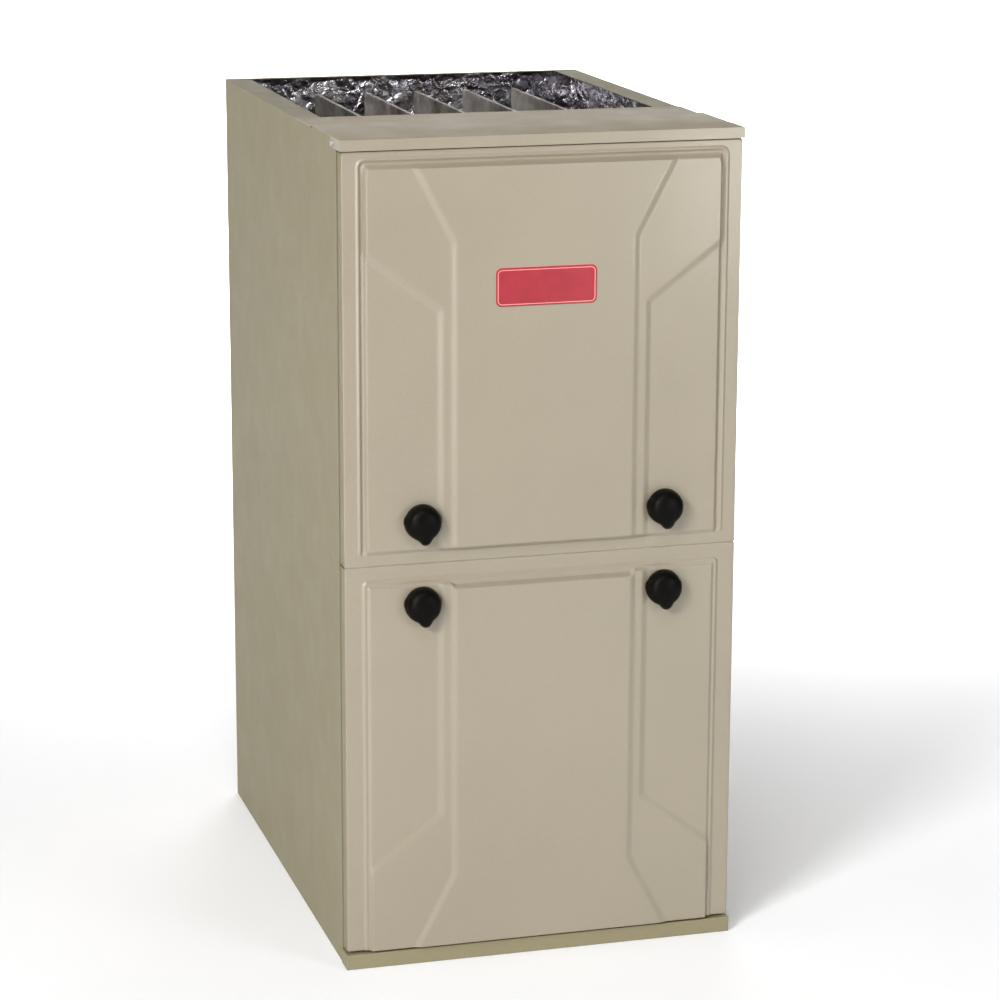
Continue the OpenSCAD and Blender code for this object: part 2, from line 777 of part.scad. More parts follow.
// Shaded-pole motor on three standoffs
module inducer_motor() {
    y0 = motor_front_y;
    y1 = inducer_front - 12;
    color("#4b4c4e") difference() {
        union() {
            bar_y(inducer_x, y0 + 16, y1, inducer_z, 38);
            block([inducer_x - 30, y0 + 22, inducer_z - 44], [inducer_x + 30, y1 - 8, inducer_z + 44]);
            bar_y(inducer_x, y0 + 4, y0 + 16, inducer_z, 16);
            for (a = [30 : 120 : 270]) translate([inducer_x, 0, inducer_z]) rotate([0, a, 0]) {
                bar_y(44, y1 - 6, inducer_front, 0, 4);
                block([30, y1 - 6, -5], [50, y1 - 4, 5]);
            }
        }
        bar_y(inducer_x, y0 - 1, y1 + 1, inducer_z, inducer_shaft_r + run);
    }
}

// Small fan on the motor's front end
module inducer_cooling_fan() {
    y1 = motor_front_y + 2;
    color("#e4dccb") difference() {
        union() {
            bar_y(inducer_x, y1 - 12, y1, inducer_z, 9);
            bar_y(inducer_x, y1 - 1.5, y1, inducer_z, 34);
            for (a = [0 : 45 : 315]) translate([inducer_x, 0, inducer_z]) rotate([0, a, 0])
                block([8, y1 - 11, -0.8], [34, y1, 0.8]);
        }
        bar_y(inducer_x, y1 - 13, y1 + 1, inducer_z, inducer_shaft_r + 0.05);
    }
}

// Adapter from the inducer outlet to the round vent collar
module vent_adapter() {
    x0 = vent_mouth_x;
    x1 = vent_end_x - 42;
    wall = 1.2;
    mouth = [inducer_front, inducer_back, inducer_slot / 2];
    color("#9a9c9e") difference() {
        union() {
            hull() {
                block([x0, mouth[0], vent_z - mouth[2]], [x0 + 10, mouth[1], vent_z + mouth[2]]);
                bar_x(x1 - 2, x1, vent_y, vent_z, vent_r);
            }
            block([x0, inducer_front - 6, vent_z - mouth[2] - 8],
                  [x0 + 2, mouth[1], vent_z + mouth[2] + 8]);
            bar_x(x1, vent_end_x, vent_y, vent_z, vent_r);
        }
        hull() {
            block([x0 - 1, mouth[0] + wall, vent_z - mouth[2] + wall],
                  [x0 + 10, mouth[1] - wall, vent_z + mouth[2] - wall]);
            bar_x(x1 - 1, x1 + 1, vent_y, vent_z, vent_r - wall);
        }
        bar_x(x1, vent_end_x + 1, vent_y, vent_z, vent_r - wall);
    }
}

// Draft-proving pressure switch on its bracket
module pressure_switch() {
    color("#3a3936") {
        bar_y(ps_x, cell_y - 34, cell_y - 14, ps_z, 30);
        bar_y(ps_x, cell_y - 40, cell_y - 34, ps_z, 14);
        bar_y(ps_x, cell_y - 52, cell_y - 40, ps_z, hose_port_r);
        bar_y(ps_x, cell_y - 14, cell_y - sheet, ps_z, 12);
        for (side = [-1, 1])
            block([ps_x + side * 12 - 3, cell_y - 42, ps_z - 16],
                  [ps_x + side * 12 + 3, cell_y - 34, ps_z - 15]);
    }
    color("#b5b3ab") block([ps_x - 34, cell_y - sheet, ps_z - 22], [ps_x + 34, cell_y, ps_z + 22]);
}

// Flexible tube swept along rounded points, with even rings of sides
function tangent(p, i) =
    let (a = p[max(i - 1, 0)], b = p[min(i + 1, len(p) - 1)], d = b - a) d / norm(d);
function carried(t, u) = let (w = u - (u * t) * t) w / norm(w);
function frames(ts, u, i = 0) =
    i == len(ts) ? [] : let (w = carried(ts[i], u)) concat([w], frames(ts, w, i + 1));
function ring(c, t, u, r, sides) = let (v = cross(t, u))
    [for (k = [0 : sides - 1]) c + r * cos(360 * k / sides) * u + r * sin(360 * k / sides) * v];
function curve(p, steps) = [for (i = [0 : len(p) - 2], k = [0 : steps - 1])
    let (t = k / steps, a = p[max(i - 1, 0)], b = p[i], c = p[i + 1], d = p[min(i + 2, len(p) - 1)])
    0.5 * (2 * b + (c - a) * t + (2 * a - 5 * b + 4 * c - d) * t * t
           + (3 * b - a - 3 * c + d) * t * t * t)];
function smooth(p, steps) = concat(curve(p, steps), [p[len(p) - 1]]);
module tube(points, r, sides = 8, steps = 3) {
    path = smooth(points, steps);
    n = len(path);
    ways = [for (i = [0 : n - 1]) tangent(path, i)];
    ups = frames(ways, [0, 0, 1]);
    rings = [for (i = [0 : n - 1]) each ring(path[i], ways[i], ups[i], r, sides)];
    walls = [for (i = [0 : n - 2], k = [0 : sides - 1])
        let (a = i * sides + k, b = i * sides + (k + 1) % sides) [a, a + sides, b + sides, b]];
    ends = [[for (k = [0 : sides - 1]) k], [for (k = [sides - 1 : -1 : 0]) (n - 1) * sides + k]];
    polyhedron(rings, concat(walls, ends), convexity = 6);
}

// Rubber hose from the pressure switch to the tap on the inducer housing
module pressure_hose() {
    port = [ps_x, cell_y - 52 - slip, ps_z];
    tap = [inducer_x - 40, inducer_front - slip, inducer_z + 30];
    color("#26241f") tube([port, port - [0, 9, 0], port - [0, 18, 0], [ps_x + 16, port[1] - 34, ps_z - 22],
        [inducer_x - 100, inducer_front - 30, inducer_z + 40], tap - [0, 20, 0], tap - [0, 10, 0], tap],
        hose_r);
}

// ---- Controls ----

// Open sheet tray that hangs from the centre rail behind the lower door
module control_box() {
    y0 = frame_y + sheet + rail_return;
    color("#b5b3ab") difference() {
        block([box_left, y0, ctrl_low], [box_right, y0 + ctrl_d, rail_low]);
        block([box_left + sheet, y0 - 1, ctrl_low + sheet],
              [box_right - sheet, y0 + ctrl_d - sheet, rail_low - sheet]);
        bar_x(box_left - 1, box_left + sheet + 1, harness_y, harness_z, harness_r + 4);
    }
    color("#b5b3ab") for (x = [box_left + 4, box_right - 16])
        block([x, rail_back_y, rail_low - 2 * sheet], [x + 12, y0 + 2, rail_low]);
}

// Printed board on four standoffs, with its relays and connectors
module control_board() {
    left = box_left + 12;
    right = left + 150;
    low = ctrl_low + 10;
    high = low + 92;
    color("#1f6b3a") block([left, board_back - 1.6, low], [right, board_back, high]);
    color("#c8c6c0") for (x = [left + 8, right - 8], z = [low + 8, high - 8])
        bar_y(x, board_back, board_back + 8, z, 3);
    color("#1d1d1e") for (i = [0 : 3])
        block([left + 14 + i * 22, board_back - 18, high - 30],
              [left + 30 + i * 22, board_back - 1.6, high - 10]);
    front = board_back - 1.6;
    color("#e8e4da") block([left + 10, front - 10.4, low + 34], [left + 60, front, low + 44]);
    color("#e8e4da") block([left + 74, front - 10.4, low + 30], [left + 112, front, low + 42]);
    color("#7a4b2a") block([left + 104, front - 14.4, high - 26], [left + 120, front, high - 12]);
    color("#c23a2f") block([right - 22, front - 7.4, low + 32], [right - 14, front, low + 48]);
}

// Low voltage terminal block on the board's lower edge
module terminal_block() {
    left = box_left + 26;
    low = ctrl_low + 14;
    y0 = board_back - 1.6;
    color("#2f5d45") difference() {
        block([left, y0 - 12, low], [left + 72, y0, low + 14]);
        for (i = [0 : 5]) bar_y(left + 8 + i * 11.2, y0 - 13, y0 - 9, low + 7, 3.4);
    }
}

// Control transformer, bolted to the tray's back
module transformer() {
    x0 = box_right - 66;
    y1 = frame_y + sheet + rail_return + ctrl_d - sheet;
    low = ctrl_low + 24;
    color("#55534f") block([x0, y1 - 34, low + 8], [x0 + 52, y1 - 8, low + 52]);
    color("#c7b27a") block([x0 + 9, y1 - 42, low + 16], [x0 + 43, y1 - 1.5, low + 44]);
    color("#55534f") block([x0, y1 - 1.5, low], [x0 + 52, y1, low + 60]);
    color("#55534f") for (z = [low + 8, low + 50])
        block([x0, y1 - 8, z], [x0 + 52, y1 - 1.5, z + 2]);
}

// Sheet box inside the right wall for the mains supply, open to the power entry
module junction_box() {
    half = 32;
    color("#b5b3ab") difference() {
        block([fit_x - 46, entry_y - half, power_entry_z - half],
              [fit_x, entry_y + half, power_entry_z + half]);
        block([fit_x - 46 + sheet, entry_y - half + sheet, power_entry_z - half + sheet],
              [fit_x + 1, entry_y + half - sheet, power_entry_z + half - sheet]);
    }
}

// Interlock switch behind the centre rail, opened when the lower door is off
module door_switch() {
    color("#e8e4da") difference() {
        block([plunger_x - 15, rail_back_y, plunger_z - 12],
              [plunger_x + 15, rail_back_y + 30, plunger_z + 12]);
        bar_y(plunger_x, rail_back_y - 1, rail_back_y + 22, plunger_z, plunger_r + run);
    }
    color("#b5b3ab") for (side = [-1, 1])
        block([plunger_x + side * 7 - 3, rail_back_y + 30, plunger_z - 0.5],
              [plunger_x + side * 7 + 3, rail_back_y + 37, plunger_z + 0.5]);
}

// Plunger that the lower door holds in
module door_switch_plunger() {
    color("#1d1d1e") bar_y(plunger_x, lower_skin_back + run, rail_back_y + 14, plunger_z, plunger_r);
}

// ---- Blower ----

// Stands a volute outline up with its outlet upwards at the rear, extruded along X
module blower_volute(x0, x1, inset) {
    translate([x0, scroll_y, scroll_z]) rotate(a = 120, v = [1, 1, 1]) linear_extrude(x1 - x0)
        volute(scroll_r0, scroll_r1, scroll_slot, scroll_reach, inset);
}

// Scroll housing with a bell mouth inlet on each side, hung from the shelf
module blower_housing() {
    half = scroll_w / 2;
    color("#b5b3ab") difference() {
        union() {
            blower_volute(-half, half, 0);
            both_sides() block([half, outlet_front - sheet, shelf_h - sheet - 14],
                               [half + 14, outlet_rear + sheet, shelf_h - sheet]);
        }
        blower_volute(-half + sheet, half - sheet, sheet);
        block([-half + sheet, outlet_front, scroll_z + 10],
              [half - sheet, outlet_rear, shelf_h]);
        both_sides() {
            bar_x(half - 2 * sheet, half + 1, scroll_y, scroll_z, inlet_throat_r);
            block([half + sheet, outlet_front - 2, shelf_h - sheet - 15],
                  [half + 15, outlet_rear + 2, shelf_h - 2 * sheet]);
        }
    }
    color("#b5b3ab") both_sides()
        turned_x(half - 8, scroll_y, scroll_z,
                 [[0, inlet_throat_r - 3], [4, inlet_throat_r - 3], [8, inlet_throat_r + 6],
                  [10, inlet_throat_r + 6], [10, inlet_throat_r + 4.5], [9, inlet_throat_r + 4.5],
                  [5, inlet_throat_r - 4.5], [0, inlet_throat_r - 4.5]]);
}

// Squirrel cage wheel: end rings, centre disc, hub and forward-curved blades
module blower_wheel() {
    half = wheel_w / 2;
    blade_d = 17;
    inner_r = wheel_r - blade_d;
    color("#9a9c9e") {
        both_sides() difference() {
            bar_x(half - 4, half, scroll_y, scroll_z, wheel_r);
            bar_x(half - 5, half + 1, scroll_y, scroll_z, inner_r + 2);
        }
        difference() {
            union() {
                bar_x(disc_x, disc_x + 2, scroll_y, scroll_z, wheel_r);
                bar_x(disc_x - 16, disc_x + 18, scroll_y, scroll_z, 16);
            }
            bar_x(disc_x - 17, disc_x + 19, scroll_y, scroll_z, shaft_r + 0.05);
        }
        for (i = [0 : blade_count - 1])
            translate([0, scroll_y, scroll_z]) rotate([360 * i / blade_count, 0, 0])
                translate([0, inner_r + 3, 0]) rotate([24, 0, 0])
                    block([-half + 1, 0, -0.5], [half - 1, blade_d - 3.5, 0.5]);
    }
}

// Motor shaft that carries the wheel
module blower_shaft() {
    color("#c8c6c0")
        bar_x(motor_left - 6, disc_x + 22, scroll_y, scroll_z, shaft_r);
}

// Direct drive motor inside the wheel's left inlet
module blower_motor() {
    x0 = motor_left;
    x1 = motor_left + motor_l;
    color("#3f4042") difference() {
        union() {
            bar_x(x0 + 10, x1 - 10, scroll_y, scroll_z, motor_r);
            turned_x(x0, scroll_y, scroll_z,
                     [[0, 0], [0, motor_r - 24], [10, motor_r - 3], [10, 0]]);
            turned_x(x1 - 10, scroll_y, scroll_z,
                     [[0, 0], [0, motor_r - 3], [10, motor_r - 24], [10, 0]]);
        }
        bar_x(x0 - 1, x1 + 1, scroll_y, scroll_z, shaft_r + run);
        for (a = [0 : 30 : 330]) translate([0, scroll_y, scroll_z]) rotate([a, 0, 0])
            block([x0 + 14, -3, motor_r - 7], [x0 + 20, 3, motor_r + 1]);
    }
}

// Belly band with three arms bolted to the housing side
module motor_arms() {
    x0 = motor_left + 26;
    face = -scroll_w / 2;
    color("#b5b3ab") difference() {
        bar_x(x0 - 24, x0, scroll_y, scroll_z, arm_in + 2);
        bar_x(x0 - 25, x0 + 1, scroll_y, scroll_z, arm_in);
    }
    color("#b5b3ab") for (a = [30, 150, 270])
        translate([0, scroll_y, scroll_z]) rotate([a, 0, 0]) {
            block([x0 - 14, arm_in + 1, -9], [x0 - 11, arm_out, 9]);
            block([x0 - 14, arm_out - 3, -9], [face, arm_out, 9]);
            block([face - 2, arm_out - 3, -9], [face, arm_out + 8, 9]);
        }
}

// ---- Doors ----

// Flat rectangle over the door's width, drawn in by inset
module door_rect(low, high, inset) {
    translate([-door_w / 2 + inset, low + inset])
        square([door_w - 2 * inset, high - low - 2 * inset]);
}

// Turned-back edges of a door, from its rim back to the casing's front flanges
module door_returns(low, high, rim_y) {
    front_slab(rim_y, frame_y) difference() {
        door_rect(low, high, 0);
        door_rect(low, high, door_skin);
    }
}

// Raised centre panel: straight at the plain end, spreading in diagonals at the other end
module centre_panel(plain, wide) {
    way = sign(wide - plain);
    polygon([[-centre_half, plain], [centre_half, plain], [centre_half, wide - way * diag_centre],
             [centre_wide_half, wide], [-centre_wide_half, wide],
             [-centre_half, wide - way * diag_centre]]);
}

// Raised middle of the field: all of it but the two side panels
module middle_panel(plain, wide, outer) {
    way = sign(wide - plain);
    polygon([[-side_in, plain], [side_in, plain], [side_in, wide - way * diag_inner],
             [outer, wide - way * diag_outer], [outer, wide], [-outer, wide],
             [-outer, wide - way * diag_outer], [-side_in, wide - way * diag_inner]]);
}

// The two raised steps of a door's field
module raised_panels(centre_plain, plain, wide, outer) {
    front_slab(face_y - panel_relief / 2, face_y + door_skin / 2) middle_panel(plain, wide, outer);
    front_slab(face_y - panel_relief, face_y) centre_panel(centre_plain, wide);
}

// Holes for the knob studs
module stud_holes(z) {
    both_sides() bar_y(knob_x, face_y - panel_relief - 1, frame_y, z, stud_hole_r);
}

// Upper door: flat rim, groove and field with its raised steps
module upper_door() {
    field_half = door_w / 2 - rim_w - groove_w;
    low = upper_bottom + upper_rim_bottom + groove_w;
    high = upper_top - upper_rim_top - groove_w;
    back = groove_y + door_skin;
    color("#b3a98f") difference() {
        union() {
            front_slab(upper_rim_y, back) door_rect(upper_bottom, upper_top, 0);
            front_slab(face_y, back)
                rounded_rect([-field_half, low], [field_half, high], field_r);
            raised_panels(low + panel_inset, low + panel_inset, high - panel_inset,
                          field_half - panel_inset);
            door_returns(upper_bottom, upper_top, upper_rim_y);
        }
        front_slab(face_y - 1, groove_y) difference() {
            rounded_rect([-field_half - groove_w, low - groove_w],
                         [field_half + groove_w, high + groove_w], field_r + groove_w);
            rounded_rect([-field_half, low], [field_half, high], field_r);
        }
        front_slab(face_y + door_skin, frame_y + 1)
            rounded_rect([-field_half + door_skin, low + door_skin],
                         [field_half - door_skin, high - door_skin], field_r);
        front_slab(upper_rim_y + door_skin, frame_y + 1) difference() {
            door_rect(upper_bottom, upper_top, door_skin);
            rounded_rect([-field_half - groove_w - door_skin, low - groove_w - door_skin],
                         [field_half + groove_w + door_skin, high + groove_w + door_skin],
                         field_r + groove_w);
        }
        stud_holes(upper_knob_z);
    }
}

// Lower door: flat rim on three sides, two steps up to a field that runs to the bottom edge
module lower_door() {
    step_half = door_w / 2 - rim_w - 2;
    field_half = step_half - step_w;
    step_top = lower_top - lower_rim_h;
    field_top = step_top - step_w;
    back = lower_rim_y + door_skin;
    color("#b3a98f") difference() {
        union() {
            front_slab(lower_rim_y, back) door_rect(lower_bottom, lower_top, 0);
            front_slab(step_y, back)
                rounded_rect([-step_half, lower_bottom], [step_half, step_top], field_r);
            front_slab(face_y, back)
                rounded_rect([-field_half, lower_bottom], [field_half, field_top], field_r);
            raised_panels(field_top - centre_drop - panel_inset, field_top - panel_inset,
                          lower_bottom + panel_inset, field_half - panel_inset);
            door_returns(lower_bottom, lower_top, lower_rim_y);
        }
        front_slab(face_y + door_skin, frame_y + 1)
            rounded_rect([-field_half + door_skin, lower_bottom + door_skin],
                         [field_half - door_skin, field_top - door_skin], field_r);
        stud_holes(lower_knob_z);
    }
}

// Quarter-turn knob: round body with a pointer, moulded stud and push-on ring behind the door
module knob(x, z) {
    back = face_y - panel_relief / 2 - run;
    front = face_y - knob_proud;
    skin_back = face_y + door_skin;
    deep = back - front;
    color("#15130f") {
        turned_y(x, front, z, [[0, 0], [0, knob_r * 0.5], [deep * 0.1, knob_r * 0.75],
            [deep * 0.35, knob_r * 0.95], [deep * 0.6, knob_r], [deep * 0.85, knob_r * 0.97],
            [deep, knob_r * 0.86], [deep, 0]]);
        translate([x, 0, z]) hull() {
            bar_y(0, front + deep * 0.3, back - deep * 0.2, 0, knob_r * 0.7);
            bar_y(0, front + deep * 0.4, back - deep * 0.2, -knob_r * 1.1, knob_r * 0.22);
        }
        bar_y(x, back - 1, stud_end, z, stud_r);
        bar_y(x, skin_back + run, skin_back + run + 1.5, z, stud_r * 2);
    }
}
module upper_left_knob() {
    knob(-knob_x, upper_knob_z);
}
module upper_right_knob() {
    knob(knob_x, upper_knob_z);
}
module lower_left_knob() {
    knob(-knob_x, lower_knob_z);
}
module lower_right_knob() {
    knob(knob_x, lower_knob_z);
}

// Blank name plate on the upper door
module name_plate() {
    half = plate_size / 2;
    plate_y = face_y - panel_relief;
    color("#b5343b") translate([0, 0, plate_z]) front_slab(plate_y - 1.6, plate_y)
        rounded_rect(-half, half, 7);
}

// ---- Wiring held inside ----

// Harness from the control board up through the shelf to the pressure switch, with two branches
module wiring_harness() {
    plug = [box_left + 40, board_back - 12 - slip, ctrl_low + 49];
    riser = [grommet_x, grommet_y, shelf_h];
    motor_plug = [inducer_x - 10, motor_front_y + 32, inducer_z - 44 - slip];
    color("#3b3733") {
        tube([plug, plug - [0, 6, 0], plug - [0, 12, 0], [box_left + 24, harness_y - 6, harness_z - 10],
              [box_left, harness_y, harness_z], [box_left - 20, harness_y + 8, harness_z + 16],
              riser - [8, 20, 60], riser - [0, 0, 14], riser + [0, 0, 60], riser + [0, -4, 200],
              [ps_x - 14, cell_y - 50, ps_z - 70], [ps_x - 12, cell_y - 42, ps_z - 44],
              [ps_x - 12, cell_y - 42, ps_z - 30],
              [ps_x - 12, cell_y - 42, ps_z - 16 - slip]],
             harness_r);
        tube([riser + [0, -2, 50], riser + [24, -22, 44], riser + [60, -44, 34],
              [-60, manifold_y + 20, shelf_h + 34], [90, manifold_y + 18, shelf_h + 34],
              [valve_left - 5, manifold_y + 10, shelf_h + 52],
              [valve_left + 30, manifold_y + 4, burner_z - 50],
              [valve_left + 30, manifold_y + 4, burner_z - 38],
              [valve_left + 30, manifold_y + 4, burner_z - 26 - slip]], harness_r - 1);
        tube([riser + [0, -4, 200], riser + [10, -22, 226],
              [inducer_x - 115, motor_front_y + 48, inducer_z - 112],
              [inducer_x - 55, motor_front_y + 30, inducer_z - 84],
              motor_plug - [0, 0, 20], motor_plug - [0, 0, 10],
              motor_plug], harness_r - 2);
    }
}

left_side_panel();
right_side_panel();
back_panel();
top_front_plate();
base_rail();
bottom_closure_panel();
blower_shelf();
cell_panel();
centre_rail();
latch_receptacles();
insulation_liner();
heat_exchanger_cell(cell_xs[0]);  // heat_exchanger_cell_1
heat_exchanger_cell(cell_xs[1]);  // heat_exchanger_cell_2
heat_exchanger_cell(cell_xs[2]);  // heat_exchanger_cell_3
heat_exchanger_cell(cell_xs[3]);  // heat_exchanger_cell_4
heat_exchanger_cell(cell_xs[4]);  // heat_exchanger_cell_5
collector_box();
burner_box();
burner(cell_xs[0]);  // burner_1
burner(cell_xs[1]);  // burner_2
burner(cell_xs[2]);  // burner_3
burner(cell_xs[3]);  // burner_4
burner(cell_xs[4]);  // burner_5
gas_manifold();
orifices();
gas_valve();
gas_valve_switch();
igniter();
flame_sensor();
rollout_switch();
rollout_reset_button();
limit_switch();
inducer_housing();
inducer_wheel();
inducer_motor();
inducer_cooling_fan();
vent_adapter();
pressure_switch();
pressure_hose();
control_box();
control_board();
terminal_block();
transformer();
junction_box();
door_switch();
door_switch_plunger();
blower_housing();
blower_wheel();
blower_shaft();
blower_motor();
motor_arms();
upper_door();
lower_door();
upper_left_knob();
upper_right_knob();
lower_left_knob();
lower_right_knob();
name_plate();
casing_screws();
wiring_harness();
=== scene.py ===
"""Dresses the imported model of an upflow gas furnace: paint, foil, plated steel, knobs and fittings."""

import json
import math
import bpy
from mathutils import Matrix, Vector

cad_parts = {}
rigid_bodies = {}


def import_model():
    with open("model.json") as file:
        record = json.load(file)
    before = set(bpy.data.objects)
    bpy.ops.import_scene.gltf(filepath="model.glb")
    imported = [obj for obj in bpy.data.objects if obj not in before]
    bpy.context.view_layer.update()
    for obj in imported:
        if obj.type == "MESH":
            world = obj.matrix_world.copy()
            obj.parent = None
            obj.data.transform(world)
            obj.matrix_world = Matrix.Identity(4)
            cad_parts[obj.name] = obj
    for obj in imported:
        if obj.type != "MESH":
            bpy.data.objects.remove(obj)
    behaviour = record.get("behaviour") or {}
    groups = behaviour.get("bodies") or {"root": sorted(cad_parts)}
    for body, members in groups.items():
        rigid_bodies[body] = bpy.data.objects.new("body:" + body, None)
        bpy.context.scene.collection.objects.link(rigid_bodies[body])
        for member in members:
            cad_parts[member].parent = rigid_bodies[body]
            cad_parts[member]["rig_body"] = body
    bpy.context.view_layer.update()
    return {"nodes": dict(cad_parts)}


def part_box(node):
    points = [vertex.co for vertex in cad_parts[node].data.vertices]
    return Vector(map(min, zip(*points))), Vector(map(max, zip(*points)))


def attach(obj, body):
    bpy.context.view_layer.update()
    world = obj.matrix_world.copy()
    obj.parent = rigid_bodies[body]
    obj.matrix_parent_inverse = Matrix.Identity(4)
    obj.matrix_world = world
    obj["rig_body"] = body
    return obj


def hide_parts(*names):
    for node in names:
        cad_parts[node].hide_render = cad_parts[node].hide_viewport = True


bl_info = {
    "name": "Forced Air Furnace Dressing",
    "version": (1, 0, 0),
    "blender": (4, 5, 0),
    "location": "View3D > Sidebar > Furnace",
    "description": "Adds the sheet metal, finishes and fittings of a gas furnace to its solid model",
    "category": "Object",
}

import bmesh
import bpy
from bpy.props import FloatProperty, FloatVectorProperty, PointerProperty
from mathutils import Matrix, Vector, noise

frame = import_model()

# ---------------------------------------------------------------- sizes taken from the solid model

casing_low, casing_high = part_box("right_side_panel")
upper_low, upper_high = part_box("upper_door")
lower_low, lower_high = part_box("lower_door")
FRAME_Y = casing_low[1]
HALF_W = casing_high[0]
DOOR_HALF = upper_high[0]
DOOR_FACE_Y = -0.328
MERGE = 0.000004
CELL_COUNT = 5
BOARD_STAND_OFF, BOARD_THICKNESS, PLUG_HEIGHT = 0.008, 0.0016, 0.0104
BLADE_COUNT = 40
LEFT, RIGHT = (-1, 0, 0), (1, 0, 0)
FRONT, REAR = (0, -1, 0), (0, 1, 0)
DOWN, UP = (0, 0, -1), (0, 0, 1)
KNOBS = {
    "upper_left_knob": (-0.151, 0.558),
    "upper_right_knob": (0.151, 0.558),
    "lower_left_knob": (-0.151, 0.457),
    "lower_right_knob": (0.151, 0.457),
}


# ---------------------------------------------------------------- settings

def colour(name, description, default):
    return FloatVectorProperty(name=name, description=description, default=default, size=4,
                               min=0.0, max=1.0, subtype="COLOR")


def length(name, description, default, low=0.0, high=1.0):
    return FloatProperty(name=name, description=description, default=default, min=low, max=high,
                         unit="LENGTH", subtype="DISTANCE")


def power(name, description, default):
    return FloatProperty(name=name, description=description, default=default, min=0.0, unit="POWER")


class FURNACE_PG_paint(bpy.types.PropertyGroup):
    # The casing colour is the doors' paint made darker: painted shade for the side sheets, which take less
    # light than the front.
    casing: colour("Casing", "Paint on the casing sheets", (0.226, 0.198, 0.120, 1.0))
    door: colour("Doors", "Paint on the two doors", (0.262, 0.229, 0.168, 1.0))
    # The top colour is the doors' paint made darker and yellower: painted shade for the up-facing top of the
    # plate.
    top: colour("Top", "Colour of the paint on the top front plate", (0.225, 0.172, 0.078, 1.0))
    roughness: FloatProperty(name="Roughness", description="Roughness of the paint film",
                             default=0.36, min=0.0, max=1.0, subtype="FACTOR")


class FURNACE_PG_doors(bpy.types.PropertyGroup):
    step: length("Panel Step", "Height of each pressed step towards the centre panel", 0.0029, 0.0, 0.01)
    slope: length("Slope Width", "Width of a pressed slope", 0.0082, 0.001, 0.02)
    centre_half: length("Centre Half Width", "Half width of the centre panel", 0.112)
    side_in: length("Side Panel Start", "Distance of the side panels from the centre line", 0.128)
    centre_wide: length("Centre Spread", "Half width of the centre panel where it spreads", 0.159)
    centre_reach: length("Centre Diagonal Start", "Distance of the centre diagonal from the field's edge",
                         0.090)
    side_inner: length("Side Diagonal Inner End", "Distance from the field's edge", 0.170)
    side_outer: length("Side Diagonal Outer End", "Distance from the field's edge", 0.102)
    grid: length("Mesh Step", "Spacing of the mesh where the sheet is pressed", 0.0019, 0.001, 0.01)


class FURNACE_PG_knobs(bpy.types.PropertyGroup):
    radius: length("Radius", "Radius of the grip", 0.022)
    tip: length("Pointer Reach", "Distance of the pointer tip from the axis", 0.0285)
    proud: length("Proud", "Distance that a knob stands in front of the door face", 0.024)
    black: colour("Black", "Colour of the moulded knob", (0.0025, 0.0020, 0.0012, 1.0))


class FURNACE_PG_plate(bpy.types.PropertyGroup):
    red: colour("Red", "Colour of the plate", (0.31, 0.018, 0.030, 1.0))
    rim: colour("Rim", "Colour of the fine line inside the plate's edge", (0.80, 0.27, 0.25, 1.0))


class FURNACE_PG_foil(bpy.types.PropertyGroup):
    crinkle: length("Crinkle", "Depth of the creases in the foil", 0.0065, 0.0, 0.02)
    silver: colour("Silver", "Colour of the foil", (0.80, 0.80, 0.83, 1.0))
    step: length("Mesh Step", "Spacing of the foil's mesh", 0.0055, 0.002, 0.02)


class FURNACE_PG_cells(bpy.types.PropertyGroup):
    metal: colour("Metal", "Colour of the aluminised sheet", (0.42, 0.385, 0.345, 1.0))
    # This colour darkens the cells towards their crimped top: heat tinting together with painted shade of the
    # dark gap there.
    heat_tint_and_shade: colour("Heat Tint", "Colour of the heat-darkened crimp", (0.10, 0.075, 0.055, 1.0))
    step: length("Mesh Step", "Spacing of the cell's mesh", 0.0048, 0.002, 0.02)


class FURNACE_PG_stage(bpy.types.PropertyGroup):
    azimuth: FloatProperty(name="Azimuth", description="Camera angle round the furnace",
                           default=math.radians(-15.96), subtype="ANGLE")
    elevation: FloatProperty(name="Elevation", description="Camera angle above the horizon",
                             default=math.radians(13.92), subtype="ANGLE")
    roll: FloatProperty(name="Roll", description="Camera roll", default=math.radians(0.21), subtype="ANGLE")
    distance: length("Distance", "Distance from the camera to the furnace", 4.149, 0.5, 20.0)
    lens: FloatProperty(name="Lens", description="Focal length on a 36 mm sensor in mm", default=114.9,
                        min=10.0)
    floor: colour("Floor", "Colour of the floor", (0.965, 0.965, 0.975, 1.0))
    sky: FloatProperty(name="Sky", description="Strength of the even light all round", default=0.10,
                       min=0.0)
    key: power("Key", "Power of the softbox at the left of the camera in watts", 290.0)
    fill: power("Front top", "Power of the softbox above the front in watts", 38.0)
    right: power("Right", "Power of the small softbox at the right in watts", 13.5)
    side: power("Side", "Power of the left softbox in watts", 52.0)
    top: FloatProperty(name="Overhead", description="Strength of the broad light above", default=0.15,
                       min=0.0)
    backdrop: power("Backdrop", "Power of the light on the paper behind in watts", 260.0)


GROUPS = {
    "furnace_paint": FURNACE_PG_paint,
    "furnace_doors": FURNACE_PG_doors,
    "furnace_knobs": FURNACE_PG_knobs,
    "furnace_plate": FURNACE_PG_plate,
    "furnace_foil": FURNACE_PG_foil,
    "furnace_cells": FURNACE_PG_cells,
    "furnace_stage": FURNACE_PG_stage,
}


# ---------------------------------------------------------------- finishes

class Nodes:
    """Short calls that add and link the nodes of one tree."""

    def link(self, source, target):
        self.tree.links.new(source, target)

    def add(self, kind, values=(), **settings):
        node = self.tree.nodes.new(kind)
        for key, value in settings.items():
            setattr(node, key, value)
        for key, value in dict(values).items():
            if hasattr(value, "is_output"):
                self.link(value, node.inputs[key])
            else:
                node.inputs[key].default_value = value
        return node

    def maths(self, operation, a, b):
        return self.add("ShaderNodeMath", {0: a, 1: b}, operation=operation).outputs[0]


